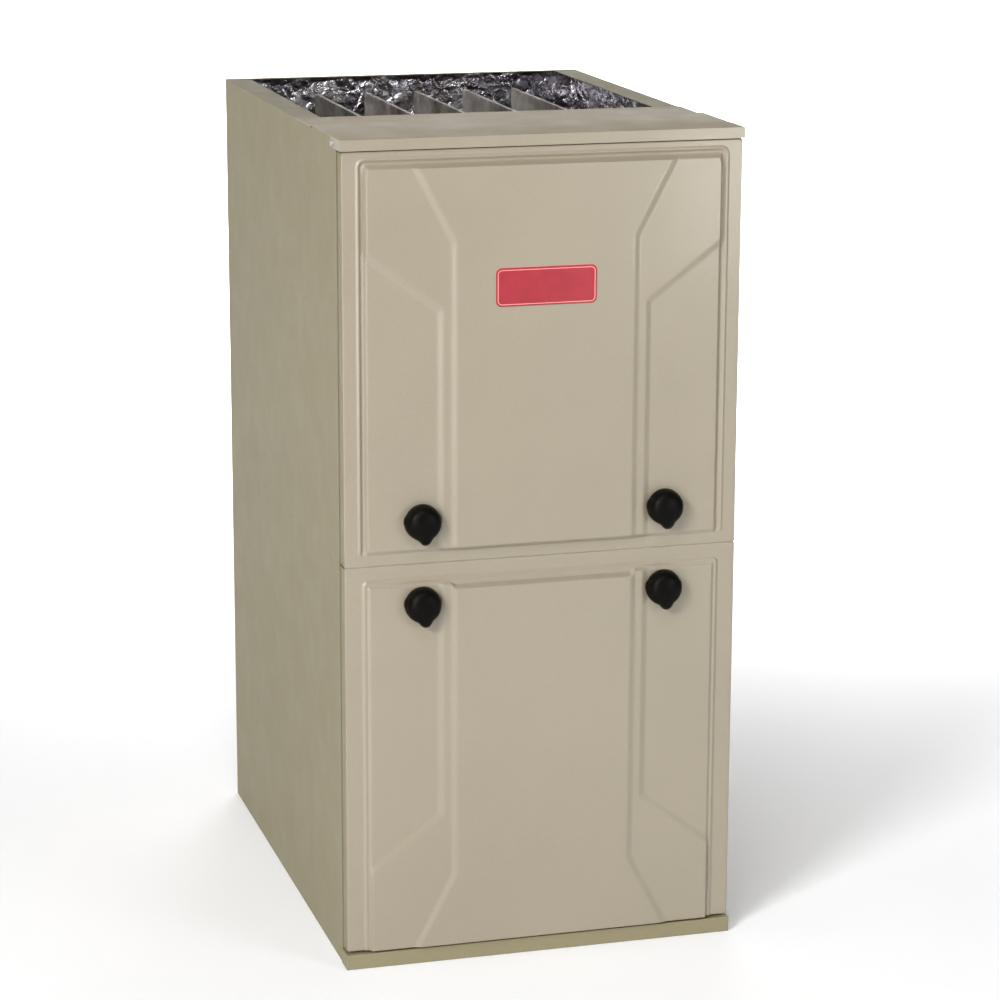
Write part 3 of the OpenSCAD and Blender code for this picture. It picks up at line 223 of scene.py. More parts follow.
class Finish(Nodes):
    """One procedural material: a principled shader with its pattern nodes."""

    def __init__(self, name, base, roughness, metallic=0.0, coat=0.0, specular=0.5):
        self.material = bpy.data.materials.new(name)
        self.material.use_nodes = True
        self.tree = self.material.node_tree
        self.shader = self.tree.nodes["Principled BSDF"]
        self.set("Base Color", base)
        self.set("Roughness", roughness)
        self.set("Metallic", metallic)
        self.set("Coat Weight", coat)
        self.set("Coat Roughness", 0.12)
        self.set("Specular IOR Level", specular)
        place = self.tree.nodes.new("ShaderNodeTexCoord")
        self.place = place.outputs["Object"]

    def set(self, socket, value):
        self.shader.inputs[socket].default_value = value

    def stretched(self, scale=(1, 1, 1), turn=(0, 0, 0)):
        return self.add("ShaderNodeMapping", {"Vector": self.place, "Scale": scale,
                                              "Rotation": turn}).outputs["Vector"]

    def mottle(self, scale, detail=4.0, rough=0.55, along=None):
        return self.add("ShaderNodeTexNoise", {"Vector": along or self.place, "Scale": scale,
                                               "Detail": detail, "Roughness": rough}).outputs["Fac"]

    def cells(self, scale, along=None, feature="F1", output="Color"):
        return self.add("ShaderNodeTexVoronoi", {"Vector": along or self.place, "Scale": scale},
                        feature=feature).outputs[output]

    def spread(self, value, low, high, to_low=0.0, to_high=1.0):
        return self.add("ShaderNodeMapRange", {"Value": value, "From Min": low, "From Max": high,
                                               "To Min": to_low, "To Max": to_high}).outputs["Result"]

    def axis(self, name):
        return self.add("ShaderNodeSeparateXYZ", {0: self.place}).outputs[name]

    def blend(self, amount, a, b):
        node = self.add("ShaderNodeMix", data_type="RGBA")
        for key, value in (("Factor", amount), ("A", a), ("B", b)):
            kind = "VALUE" if key == "Factor" else "RGBA"
            socket = next(s for s in node.inputs if s.name == key and s.type == kind)
            if hasattr(value, "is_output"):
                self.link(value, socket)
            else:
                socket.default_value = value
        return next(s for s in node.outputs if s.type == "RGBA")

    def base(self, source):
        self.link(source, self.shader.inputs["Base Color"])
        return self

    def toned(self, pattern, base, dark, bright, low=0.3, high=0.7):
        """Colour that a pattern moves between a darker and a brighter shade."""
        amount = self.spread(pattern, low, high)
        return self.base(self.blend(amount, shade(base, dark), shade(base, bright)))

    def rough(self, source):
        self.link(source, self.shader.inputs["Roughness"])
        return self

    def worn(self, scale, detail, low, high):
        """Roughness that moves between two values in soft patches."""
        return self.rough(self.spread(self.mottle(scale, detail), 0.3, 0.7, low, high))

    def relief(self, height, distance, strength=1.0):
        before = self.shader.inputs["Normal"].links
        values = {"Height": height, "Distance": distance, "Strength": strength}
        if before:
            values["Normal"] = before[0].from_socket
        bump = self.add("ShaderNodeBump", values)
        self.link(bump.outputs["Normal"], self.shader.inputs["Normal"])
        return self


def shade(colour_value, factor):
    return (colour_value[0] * factor, colour_value[1] * factor, colour_value[2] * factor, 1.0)


def cured_paint(name, base, roughness, coat=0.30, specular=0.5):
    """Baked enamel: slight orange peel, faint cloudiness and a thin clear sheen."""
    f = Finish(name, base, roughness, coat=coat, specular=specular)
    cloud = f.mottle(5.0, 3.0)
    fine = f.mottle(420.0, 2.0)
    tone = f.blend(f.spread(cloud, 0.3, 0.7), shade(base, 0.965), shade(base, 1.035))
    f.base(f.blend(f.spread(fine, 0.35, 0.65, 0.0, 0.35), tone, shade(base, 1.12)))
    f.worn(22.0, 4.0, roughness - 0.04, roughness + 0.05)
    f.relief(f.mottle(760.0, 2.0), 0.00022, 0.30)
    return f.relief(f.mottle(3.2, 1.0), 0.0045, 0.05)


def galvanised(name, base=(0.60, 0.61, 0.61, 1.0), scale=95.0):
    """Zinc-coated sheet with crystalline spangle."""
    f = Finish(name, base, 0.42, metallic=0.85)
    grain = f.cells(scale)
    tone = f.add("ShaderNodeRGBToBW", {0: grain}).outputs[0]
    f.toned(tone, base, 0.82, 1.15, 0.1, 0.9)
    f.rough(f.spread(tone, 0.1, 0.9, 0.34, 0.52))
    return f.relief(f.mottle(900.0, 2.0), 0.0001, 0.2)


def rolled_steel(name, base, roughness=0.38, stretch=(1, 60, 1), metallic=0.9):
    """Plain rolled or drawn metal with fine directional lines."""
    f = Finish(name, base, roughness, metallic=metallic)
    lines = f.mottle(18.0, 5.0, 0.6, f.stretched(stretch))
    f.toned(lines, base, 0.86, 1.10)
    f.worn(30.0, 3.0, roughness - 0.07, roughness + 0.09)
    return f.relief(lines, 0.0001, 0.15)


def crinkled_foil(name, base):
    """Aluminium foil facing with sharp creases, bright flats and painted dusky reflections."""
    f = Finish(name, base, 0.20, metallic=1.0)
    folds = f.cells(52.0, f.stretched((1, 1, 1.3)), feature="DISTANCE_TO_EDGE", output="Distance")
    small = f.cells(150.0, feature="DISTANCE_TO_EDGE", output="Distance")
    # dark patches painted into the foil's colour: painted reflection of the dark casing
    dusky_reflection = f.mottle(14.0, 5.0, 0.6)
    shaded = f.blend(f.spread(dusky_reflection, 0.42, 0.62), (0.36, 0.33, 0.38, 1.0), base)
    f.base(f.blend(f.spread(f.mottle(40.0, 4.0), 0.52, 0.7, 0.0, 0.6), shaded, (0.30, 0.25, 0.22, 1.0)))
    f.worn(60.0, 3.0, 0.10, 0.34)
    f.relief(folds, 0.004, 0.9)
    f.relief(small, 0.0016, 0.7)
    return f.relief(f.mottle(110.0, 4.0, 0.7), 0.0012, 0.6)


def heat_tinted_and_shaded(name, base, heat_tint_and_shade, darkest_z, reach):
    """Aluminised steel that darkens towards a given height: heat tinting on the burners, and on the cells heat
    tinting together with painted shade along the crimped top.
    """
    f = Finish(name, base, 0.46, metallic=0.75)
    height = f.axis("Z")
    # darker towards the given height: on the cells this is painted shade as well as heat tinting
    heat = f.spread(height, darkest_z - reach, darkest_z, 0.0, 1.0)
    patch = f.maths("MULTIPLY", heat, f.spread(f.mottle(16.0, 5.0), 0.35, 0.7))
    tone = f.blend(f.spread(f.mottle(45.0, 4.0), 0.3, 0.7), shade(base, 0.82), shade(base, 1.12))
    f.base(f.blend(patch, tone, heat_tint_and_shade))
    f.worn(70.0, 3.0, 0.38, 0.58)
    return f.relief(f.mottle(260.0, 4.0), 0.0002, 0.4)


def cast_metal(name, base, roughness=0.5, metallic=0.8, grain=380.0):
    f = Finish(name, base, roughness, metallic=metallic)
    f.toned(f.mottle(35.0, 4.0), base, 0.85, 1.08)
    f.worn(90.0, 3.0, roughness - 0.08, roughness + 0.1)
    return f.relief(f.mottle(grain, 3.0), 0.0003, 0.5)


def moulded(name, base, roughness=0.4, grain=900.0, depth=0.00012, coat=0.0, specular=0.5):
    """Moulded plastic: faint flow marks and a fine tool texture."""
    f = Finish(name, base, roughness, coat=coat, specular=specular)
    f.toned(f.mottle(28.0, 3.0), base, 0.90, 1.12)
    f.worn(60.0, 3.0, roughness - 0.05, roughness + 0.07)
    return f.relief(f.mottle(grain, 2.0), depth, 0.4)


def stove_black(name):
    base = (0.022, 0.022, 0.023, 1.0)
    f = Finish(name, base, 0.42, coat=0.1)
    f.base(f.blend(f.spread(f.mottle(60.0, 4.0), 0.35, 0.75, 0.0, 0.5), base, (0.06, 0.055, 0.05, 1.0)))
    f.worn(40.0, 3.0, 0.34, 0.52)
    return f.relief(f.mottle(520.0, 3.0), 0.0002, 0.4)


def painted_label_red(name, base):
    """Thick glossy enamel of the plate on the upper door."""
    f = Finish(name, base, 0.22, coat=0.5)
    f.toned(f.mottle(70.0, 3.0), base, 0.90, 1.10)
    return f.relief(f.mottle(500.0, 2.0), 0.0001, 0.2)


def wound_copper(name):
    """Varnished copper winding with its turns side by side, with painted shade between the turns and painted
    highlight along them.
    """
    base = (0.42, 0.16, 0.06, 1.0)
    f = Finish(name, base, 0.32, metallic=0.9, coat=0.3)
    turns = f.add("ShaderNodeTexWave", {"Vector": f.place, "Scale": 260.0, "Distortion": 0.4},
                  bands_direction="Z").outputs["Fac"]
    f.base(f.blend(turns, shade(base, 0.55), shade(base, 1.25)))
    return f.relief(turns, 0.0003, 0.7)


def circuit_green(name, base):
    """Solder-masked board with tracks under the film."""
    f = Finish(name, base, 0.34, coat=0.25)
    tracks = f.add("ShaderNodeTexBrick", {
        "Vector": f.stretched(turn=(math.radians(90), 0, 0)), "Scale": 90.0, "Mortar Size": 0.05,
        "Color1": (0, 0, 0, 1), "Color2": (0.1, 0.1, 0.1, 1), "Mortar": (1, 1, 1, 1)}).outputs["Color"]
    level = f.add("ShaderNodeRGBToBW", {0: tracks}).outputs[0]
    f.base(f.blend(f.spread(level, 0.0, 1.0, 0.0, 0.6), base, shade(base, 1.9)))
    return f.relief(level, 0.0001, 0.5)


def sleeved_wires(name):
    """Bundled wires in several colours under a woven sleeve."""
    f = Finish(name, (0.03, 0.03, 0.03, 1.0), 0.55)
    weave = f.add("ShaderNodeTexChecker", {
        "Vector": f.place, "Scale": 520.0, "Color1": (0.012, 0.012, 0.012, 1),
        "Color2": (0.055, 0.052, 0.048, 1)}).outputs["Color"]
    f.base(f.blend(f.spread(f.mottle(30.0, 3.0), 0.55, 0.7, 0.0, 0.5), weave, (0.09, 0.08, 0.07, 1.0)))
    return f.relief(f.mottle(600.0, 2.0), 0.0003, 0.6)


RECIPES = {
    # The casing's colour is a darker copy of the doors' paint: painted shade for sheets that face away from
    # the front.
    "shaded casing paint": lambda s: cured_paint("casing_paint", tuple(s.furnace_paint.casing),
                                        s.furnace_paint.roughness + 0.16, 0.0, 0.16),
    # The top's colour is a darker, yellower copy of the doors' paint: painted shade for the top plate's
    # up-facing faces.
    "shaded top paint": lambda s: cured_paint("shaded_top_paint", tuple(s.furnace_paint.top),
                                       s.furnace_paint.roughness + 0.1, 0.02, 0.14),
    "door paint": lambda s: cured_paint("door_paint", tuple(s.furnace_paint.door), s.furnace_paint.roughness),
    "galvanised": lambda s: galvanised("galvanised_sheet"),
    "zinc": lambda s: rolled_steel("zinc_plate", (0.62, 0.61, 0.58, 1.0), 0.34, (60, 60, 1)),
    "screw zinc": lambda s: cast_metal("screw_zinc", (0.66, 0.64, 0.58, 1.0), 0.32, 0.95, 700.0),
    "foil": lambda s: crinkled_foil("foil_facing", tuple(s.furnace_foil.silver)),
    # The cells darken towards their crimped top: heat tinting with painted shade.
    "cell steel": lambda s: heat_tinted_and_shaded("cell_steel", tuple(s.furnace_cells.metal),
                                        tuple(s.furnace_cells.heat_tint_and_shade), 0.99, 0.10),
    "flue steel": lambda s: rolled_steel("flue_steel", (0.46, 0.47, 0.48, 1.0), 0.42, (1, 1, 40)),
    "burner steel": lambda s: heat_tinted_and_shaded("burner_steel", (0.55, 0.53, 0.49, 1.0),
                                          (0.16, 0.12, 0.13, 1.0), 0.70, 0.12),
    "pipe black": lambda s: cast_metal("pipe_black", (0.035, 0.034, 0.032, 1.0), 0.55, 0.3, 260.0),
    "brass": lambda s: rolled_steel("turned_brass", (0.66, 0.44, 0.15, 1.0), 0.28, (1, 80, 1), 1.0),
    "die cast": lambda s: cast_metal("die_cast_aluminium", (0.50, 0.51, 0.52, 1.0), 0.46, 0.85, 420.0),
    "wheel steel": lambda s: galvanised("wheel_steel", (0.52, 0.53, 0.54, 1.0), 140.0),
    "motor black": lambda s: stove_black("motor_black"),
    "board green": lambda s: circuit_green("board_green", (0.012, 0.11, 0.035, 1.0)),
    "transformer iron": lambda s: rolled_steel("transformer_iron", (0.16, 0.15, 0.14, 1.0), 0.52,
                                               (1, 60, 60), 0.6),
    "copper": lambda s: wound_copper("wound_copper"),
    "knob black": lambda s: moulded("knob_black", tuple(s.furnace_knobs.black), 0.42, 700.0, 0.00008,
                                    specular=0.07),
    "plate red": lambda s: painted_label_red("plate_red", tuple(s.furnace_plate.red)),
    "plate line": lambda s: moulded("plate_line", tuple(s.furnace_plate.rim), 0.3),
    "sleeve": lambda s: sleeved_wires("wire_sleeve"),
}
# Moulded plastics: name, colour, roughness, and the grain and its depth where they aren't the usual.
PLASTICS = {
    "switch blue": ("switch_blue", (0.02, 0.07, 0.27), 0.36),
    "ceramic": ("fired_ceramic", (0.74, 0.69, 0.58), 0.62, 500.0, 0.0003),
    "switch black": ("switch_black", (0.018, 0.018, 0.018), 0.42),
    "red plastic": ("red_plastic", (0.48, 0.015, 0.012), 0.32),
    "nylon": ("natural_nylon", (0.70, 0.64, 0.53), 0.40),
    "hose rubber": ("hose_rubber", (0.012, 0.012, 0.011), 0.58, 340.0, 0.0002),
    "relay white": ("relay_white", (0.62, 0.61, 0.56), 0.38),
    "relay blue": ("relay_blue", (0.015, 0.12, 0.30), 0.30),
    "fuse violet": ("fuse_violet", (0.20, 0.04, 0.25), 0.25),
    "element": ("heater_element", (0.085, 0.080, 0.078), 0.62, 420.0, 0.0003),
    "terminal green": ("terminal_green", (0.03, 0.12, 0.055), 0.36),
    "cap sleeve": ("capacitor_sleeve", (0.012, 0.020, 0.075), 0.28),
    "wire red": ("wire_red", (0.42, 0.012, 0.010), 0.35),
    "wire white": ("wire_white", (0.66, 0.65, 0.61), 0.38),
    "wire blue": ("wire_blue", (0.012, 0.045, 0.26), 0.35),
    "wire yellow": ("wire_yellow", (0.62, 0.40, 0.02), 0.36),
    "wire black": ("wire_black", (0.014, 0.014, 0.014), 0.36),
    "wire green": ("wire_green", (0.015, 0.16, 0.045), 0.36),
}
MADE = {}


def finish(key):
    """The material of a key, made the first time it is asked for."""
    if key not in MADE and key in PLASTICS:
        name, base, *grain = PLASTICS[key]
        MADE[key] = moulded(name, (*base, 1.0), *grain).material
    elif key not in MADE:
        MADE[key] = RECIPES[key](bpy.context.scene).material
    return MADE[key]


# ---------------------------------------------------------------- building blocks


def corners(name):
    """Lowest and highest corner of a solid, as two vectors."""
    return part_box(name)


def centre_of(name):
    """Middle of a solid's box."""
    return [(a + b) / 2 for a, b in zip(*corners(name))]


def sharpen(mesh, degrees=32.0):
    mesh.shade_smooth()
    mesh.set_sharp_from_angle(angle=math.radians(degrees))


def placed(name, bm, keys, body, stands_for=(), degrees=32.0):
    """Turns a built mesh into a piece with its finishes that rides on a body."""
    mesh = bpy.data.meshes.new(name)
    bm.to_mesh(mesh)
    bm.free()
    for key in keys:
        mesh.materials.append(finish(key))
    sharpen(mesh, degrees)
    piece = bpy.data.objects.new(name, mesh)
    bpy.context.scene.collection.objects.link(piece)
    if stands_for:
        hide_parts(*stands_for)
    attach(piece, body)
    return piece


def rounded(piece, width, segments=2, degrees=30.0):
    bevel = piece.modifiers.new("edge_round", "BEVEL")
    bevel.width = width
    bevel.segments = segments
    bevel.limit_method = "ANGLE"
    bevel.angle_limit = math.radians(degrees)
    bevel.use_clamp_overlap = True
    bevel.harden_normals = True
    return piece


def dressed(node_name, key, width=0.0004, segments=2, degrees=30.0):
    """A copy of a solid with merged faces, softened edges and its finish, standing for the solid."""
    node = frame["nodes"][node_name]
    bm = bmesh.new()
    bm.from_mesh(node.data)
    bmesh.ops.remove_doubles(bm, verts=bm.verts, dist=MERGE)
    bmesh.ops.dissolve_limit(bm, angle_limit=math.radians(0.4), verts=bm.verts, edges=bm.edges)
    piece = placed(node_name + "_sheet", bm, [key], node["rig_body"],
                   (node_name,), degrees)
    return rounded(piece, width, segments, degrees)


def add_box(bm, low, high, slot=0):
    made = bmesh.ops.create_cube(bm, size=1.0)["verts"]
    centre = [(a + b) / 2 for a, b in zip(low, high)]
    size = [b - a for a, b in zip(low, high)]
    for v in made:
        v.co = Vector([c + co * s for c, co, s in zip(centre, v.co, size)])
    for face in {f for v in made for f in v.link_faces}:
        face.material_index = slot


def skin(bm, rings, slot=0, closed=True):
    """Joins rings of vertices by faces, and closes the first and the last ring."""
    count = len(rings[0])
    faces = [bm.faces.new((low[k], low[(k + 1) % count], high[(k + 1) % count], high[k]))
             for low, high in zip(rings, rings[1:]) for k in range(count)]
    if closed:
        faces.append(bm.faces.new(list(reversed(rings[0]))))
        faces.append(bm.faces.new(rings[-1]))
    for face in faces:
        face.material_index = slot


def axes(axis):
    """Unit vectors along an axis and two ways across it."""
    way = Vector(axis).normalized()
    side = way.orthogonal().normalized()
    return way, side, way.cross(side)


def add_turned(bm, profile, centre, axis, sides=32, slot=0):
    """Solid of revolution: profile is a list of (distance along the axis, radius)."""
    way, side, other = axes(axis)
    rings = []
    for along, radius in profile:
        rings.append([bm.verts.new(Vector(centre) + way * along
                                   + (side * math.cos(t) + other * math.sin(t)) * radius)
                      for t in (2 * math.pi * k / sides for k in range(sides))])
    skin(bm, rings, slot)


def add_tube(bm, points, radius, sides=12, slot=0):
    """Round wire or pipe along a list of points, closed at both ends."""
    points = [Vector(p) for p in points]
    rings = []
    normal = (points[1] - points[0]).orthogonal().normalized()
    for k, point in enumerate(points):
        way = (points[min(k + 1, len(points) - 1)] - points[max(k - 1, 0)]).normalized()
        normal = (normal - way * normal.dot(way)).normalized()
        across = way.cross(normal)
        rings.append([bm.verts.new(point + (normal * math.cos(t) + across * math.sin(t)) * radius)
                      for t in (2 * math.pi * n / sides for n in range(sides))])
    skin(bm, rings, slot)


def smooth_line(points, steps=8):
    """Catmull-Rom line through the points."""
    points = [Vector(p) for p in points]
    line = []
    for k in range(len(points) - 1):
        a = points[max(k - 1, 0)]
        b, c = points[k], points[k + 1]
        d = points[min(k + 2, len(points) - 1)]
        for n in range(steps):
            t = n / steps
            line.append(0.5 * ((2 * b) + (c - a) * t + (2 * a - 5 * b + 4 * c - d) * t * t
                               + (3 * b - a - 3 * c + d) * t ** 3))
    line.append(points[-1])
    return line


def face_out(bm):
    bmesh.ops.recalc_face_normals(bm, faces=bm.faces)


# ---------------------------------------------------------------- repeated pieces by geometry nodes

def point_cloud(name, places):
    """Vertices with the direction that each repeated piece faces and its turn about it."""
    mesh = bpy.data.meshes.new(name)
    mesh.from_pydata([place for place, _, _ in places], [], [])
    mesh.attributes.new("facing", "FLOAT_VECTOR", "POINT")
    mesh.attributes.new("turned", "FLOAT", "POINT")
    for index, (_, way, turn) in enumerate(places):
        mesh.attributes["facing"].data[index].vector = way
        mesh.attributes["turned"].data[index].value = turn
    return mesh


class Tree(Nodes):
    """A geometry node tree with short calls for its nodes."""

    def __init__(self, name, sizes):
        self.tree = bpy.data.node_groups.new(name, "GeometryNodeTree")
        face = self.tree.interface
        face.new_socket(name="Points", in_out="INPUT", socket_type="NodeSocketGeometry")
        self.ids = {}
        for label, value in sizes.items():
            kind = "NodeSocketInt" if isinstance(value, int) else "NodeSocketFloat"
            socket = face.new_socket(name=label, in_out="INPUT", socket_type=kind)
            socket.default_value = value
            self.ids[label] = socket.identifier
        face.new_socket(name="Geometry", in_out="OUTPUT", socket_type="NodeSocketGeometry")
        self.input = self.tree.nodes.new("NodeGroupInput")
        self.output = self.tree.nodes.new("NodeGroupOutput")

    def size(self, label):
        return self.input.outputs[label]

    def moved(self, geometry, shift=None, turn=None, scale=None):
        values = {"Geometry": geometry}
        if shift is not None:
            values["Translation"] = shift
        if turn is not None:
            values["Rotation"] = turn
        if scale is not None:
            values["Scale"] = scale
        return self.add("GeometryNodeTransform", values).outputs[0]

    def up(self, height):
        return self.add("ShaderNodeCombineXYZ", {"Z": height}).outputs[0]

    def joined(self, *parts):
        node = self.add("GeometryNodeJoinGeometry")
        for part in parts:
            self.link(part, node.inputs[0])
        return node.outputs[0]

    def close(self, instance, material):
        """Puts the instance on every point, facing along its attribute, as real faces with a material."""
        facing = self.add("GeometryNodeInputNamedAttribute", {"Name": "facing"}, data_type="FLOAT_VECTOR")
        turned = self.add("GeometryNodeInputNamedAttribute", {"Name": "turned"}, data_type="FLOAT")
        aligned = self.add("FunctionNodeAlignEulerToVector", {"Vector": facing.outputs["Attribute"]},
                           axis="Z")
        placed_on = self.add("GeometryNodeInstanceOnPoints", {
            "Points": self.size("Points"), "Instance": instance, "Rotation": aligned.outputs[0]})
        spun = self.add("GeometryNodeRotateInstances", {
            "Instances": placed_on.outputs[0], "Rotation": self.up(turned.outputs["Attribute"]),
            "Local Space": True})
        real = self.add("GeometryNodeRealizeInstances", {"Geometry": spun.outputs[0]})
        final = self.add("GeometryNodeSetMaterial", {"Geometry": real.outputs[0], "Material": material})
        self.link(final.outputs[0], self.output.inputs[0])
        return self


def grown(name, places, tree, sizes, body):
    """Evaluates a tree on its points and keeps the result as one plain mesh on a body."""
    seed = bpy.data.objects.new(name + "_points", point_cloud(name + "_points", places))
    bpy.context.scene.collection.objects.link(seed)
    modifier = seed.modifiers.new("grow", "NODES")
    modifier.node_group = tree.tree
    for label, value in sizes.items():
        modifier[tree.ids[label]] = value
    evaluated = seed.evaluated_get(bpy.context.evaluated_depsgraph_get())
    mesh = bpy.data.meshes.new_from_object(evaluated)
    seed.modifiers.remove(modifier)
    bpy.data.objects.remove(seed)
    mesh.name = name
    sharpen(mesh)
    piece = bpy.data.objects.new(name, mesh)
    bpy.context.scene.collection.objects.link(piece)
    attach(piece, body)
    return piece


TREES = {}


def hex_screw_tree():
    """Slotted hexagon head with a pressed flange."""
    t = Tree("hex_screws", {"Head Radius": 0.0036, "Head Height": 0.0028, "Flange Radius": 0.0052,
                            "Flange Height": 0.0009})
    flange = t.add("GeometryNodeMeshCylinder", {"Vertices": 24, "Radius": t.size("Flange Radius"),
                                                "Depth": t.size("Flange Height")}).outputs["Mesh"]
    head = t.add("GeometryNodeMeshCylinder", {"Vertices": 6, "Radius": t.size("Head Radius"),
                                              "Depth": t.size("Head Height")}).outputs["Mesh"]
    crown = t.add("GeometryNodeMeshCone", {"Vertices": 18, "Radius Top": 0.0018, "Depth": 0.0005,
                                           "Radius Bottom": t.size("Head Radius")}).outputs["Mesh"]
    low = t.moved(flange, t.up(t.maths("MULTIPLY", t.size("Flange Height"), 0.5)))
    middle = t.moved(head, t.up(t.maths("MULTIPLY", t.size("Head Height"), 0.5)))
    top = t.moved(crown, t.up(t.size("Head Height")), scale=(0.86, 0.86, 1.0))
    return t.close(t.joined(low, middle, top), finish("screw zinc"))


def clinch_tree():
    """Small round button that a clinching tool leaves in painted sheet."""
    t = Tree("clinch_marks", {"Radius": 0.0032, "Height": 0.0005})
    ring = t.add("GeometryNodeMeshCone", {
        "Vertices": 20, "Radius Top": 0.0022, "Radius Bottom": t.size("Radius"),
        "Depth": t.size("Height")}).outputs["Mesh"]
    # the marks take the darker casing colour, painted shade of the doors' paint
    return t.close(ring, finish("shaded casing paint"))


def screws(name, places, body="casing", slot="zinc", **sizes):
    """Hexagon head screws at (place, direction) pairs, each turned a little further than the last."""
    if "screws" not in TREES:
        TREES["screws"] = hex_screw_tree()
    labels = {"head": "Head Radius", "height": "Head Height", "flange": "Flange Radius"}
    return grown(name, [(p, w, 0.4 * k) for k, (p, w) in enumerate(places)], TREES["screws"],
                 {labels[k]: v for k, v in sizes.items()}, body)


# ---------------------------------------------------------------- stage

class FURNACE_OT_stage(bpy.types.Operator):
    """Sets the pale floor, the soft studio lights and the camera"""
    bl_idname = "furnace.stage"
    bl_label = "Stage"

    def execute(self, context):
        s = context.scene.furnace_stage
        bm = bmesh.new()
        wide, near, far, high, bend = 14.0, -9.0, 6.0, 9.0, 2.5
        line = [(near, 0.0), (far - bend, 0.0)]
        line += [(far - bend + bend * math.sin(t), bend - bend * math.cos(t))
                 for t in (math.radians(5 * k) for k in range(1, 18))]
        line += [(far, bend), (far, high)]
        rows = [[bm.verts.new((x, y, z - 0.0002)) for x in (-wide, wide)] for y, z in line]
        for a, b in zip(rows, rows[1:]):
            bm.faces.new((a[0], a[1], b[1], b[0]))
        mesh = bpy.data.meshes.new("studio_floor")
        bm.to_mesh(mesh)
        bm.free()
        paper = Finish("studio_paper", tuple(s.floor), 0.72, specular=0.25)
        clouds = paper.spread(paper.mottle(3.0, 2.0), 0.3, 0.7)
        paper.base(paper.blend(clouds, shade(s.floor, 0.985), shade(s.floor, 1.01)))
        mesh.materials.append(paper.material)
        mesh.shade_smooth()
        floor = bpy.data.objects.new("studio_floor", mesh)
        context.scene.collection.objects.link(floor)

        world = context.scene.world or bpy.data.worlds.new("studio")
        context.scene.world = world
        world.use_nodes = True
        world.node_tree.nodes["Background"].inputs["Color"].default_value = (1.0, 1.0, 1.0, 1.0)
        world.node_tree.nodes["Background"].inputs["Strength"].default_value = s.sky
        for name, kind, place, size, power in (
                ("key_softbox", "AREA", (-3.9, -3.9, 3.3), 1.5, s.key),
                ("fill_softbox", "AREA", (-0.7, -2.4, 3.7), 1.1, s.fill),
                ("right_softbox", "AREA", (1.15, -2.0, 0.9), 0.8, s.right),
                ("side_softbox", "AREA", (-2.6, -3.2, 0.7), 1.7, s.side),
                ("overhead", "SUN", (-0.5, -0.9, 3.0), math.radians(50), s.top)):
            light = bpy.data.lights.new(name, kind)
            light.energy = power
            if kind == "SUN":
                light.angle = size
            else:
                light.shape = "SQUARE"
                light.size = size
            lamp = bpy.data.objects.new(name, light)
            context.scene.collection.objects.link(lamp)
            lamp.location = place
            lamp.rotation_euler = (Vector((0, 0, 0.5)) - Vector(place)).to_track_quat("-Z", "Y").to_euler()
        # the last softbox points straight down at the paper behind, with a narrowed spread
        glow = bpy.data.lights.new("backdrop_softbox", "AREA")
        glow.energy, glow.shape, glow.size, glow.spread = s.backdrop, "SQUARE", 3.2, math.radians(86)
        lamp = bpy.data.objects.new("backdrop_softbox", glow)
        lamp.location = (1.9, 3.8, 3.8)
        context.scene.collection.objects.link(lamp)
        context.scene.view_settings.view_transform = "Standard"

        a, e, r = s.azimuth, s.elevation, s.roll
        right = Vector((math.cos(a), math.sin(a), 0))
        back = Vector((math.sin(a) * math.cos(e), -math.cos(a) * math.cos(e), math.sin(e)))
        up = back.cross(right)
        right_r = right * math.cos(r) + up * math.sin(r)
        up_r = up * math.cos(r) - right * math.sin(r)
        data = bpy.data.cameras.new("photo_camera")
        data.lens = s.lens
        data.sensor_width = 36.0
        data.clip_end = 60.0
        camera = bpy.data.objects.new("photo_camera", data)
        aim = Vector((0, 0.012, 0.5065)) + right_r * 0.0411 - up_r * 0.0131
        camera.location = aim + back * s.distance
        camera.rotation_euler = Matrix((right_r, up_r, back)).transposed().to_euler()
        context.scene.collection.objects.link(camera)
        context.scene.camera = camera
        return {"FINISHED"}


# ---------------------------------------------------------------- casing

class FURNACE_OT_casing(bpy.types.Operator):
    """Finishes the painted casing sheets and the plain sheets inside"""
    bl_idname = "furnace.casing"
    bl_label = "Casing"

    def execute(self, context):
        # these sheets take the darker casing colour, painted shade of the doors' paint
        for name in ("left_side_panel", "right_side_panel", "back_panel", "base_rail"):
            dressed(name, "shaded casing paint", 0.0006, 3)
        low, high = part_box("top_front_plate")

        # the up-facing faces take the darker top colour as painted shade; the lip keeps the doors' paint
        def lip(c):
            return int(c.z < high[2] - 0.001 and (c.y < low[1] + 0.0015 or abs(c.x) > high[0] - 0.0015))

        painted_parts("top_front_plate", ["shaded top paint", "door paint"], lip, 0.0008)
        # the centre rail takes the same darker casing colour, painted shade of the doors' paint
        dressed("centre_rail", "shaded casing paint", 0.0005)
        for name in ("bottom_closure_panel", "blower_shelf", "cell_panel"):
            dressed(name, "galvanised", 0.0004)
        for name in ("latch_receptacles", "casing_screws"):
            dressed(name, "zinc", 0.0003)
        return {"FINISHED"}


class FURNACE_OT_clinches(bpy.types.Operator):
    """Adds the clinch marks along the sides and the shelf"""
    bl_idname = "furnace.clinches"
    bl_label = "Clinch Marks"

    def execute(self, context):
        front = corners("upper_door")[0][1] + 0.0048
        places = []
        for side in (-1, 1):
            x = side * (HALF_W - 0.00005)
            for z in (0.552, 0.675, 0.796, 0.922):
                places.append(((x, front + 0.196, z), (side, 0, 0), 0.0))
            for back in (0.030, 0.068, 0.148, 0.292, 0.458, 0.640):
                places.append(((x, front + back, corners("blower_shelf")[1][2] - 0.009), (side, 0, 0), 0.0))
        if "clinch" not in TREES:
            TREES["clinch"] = clinch_tree()
        grown("clinch_marks", places, TREES["clinch"], {}, "casing")
        return {"FINISHED"}


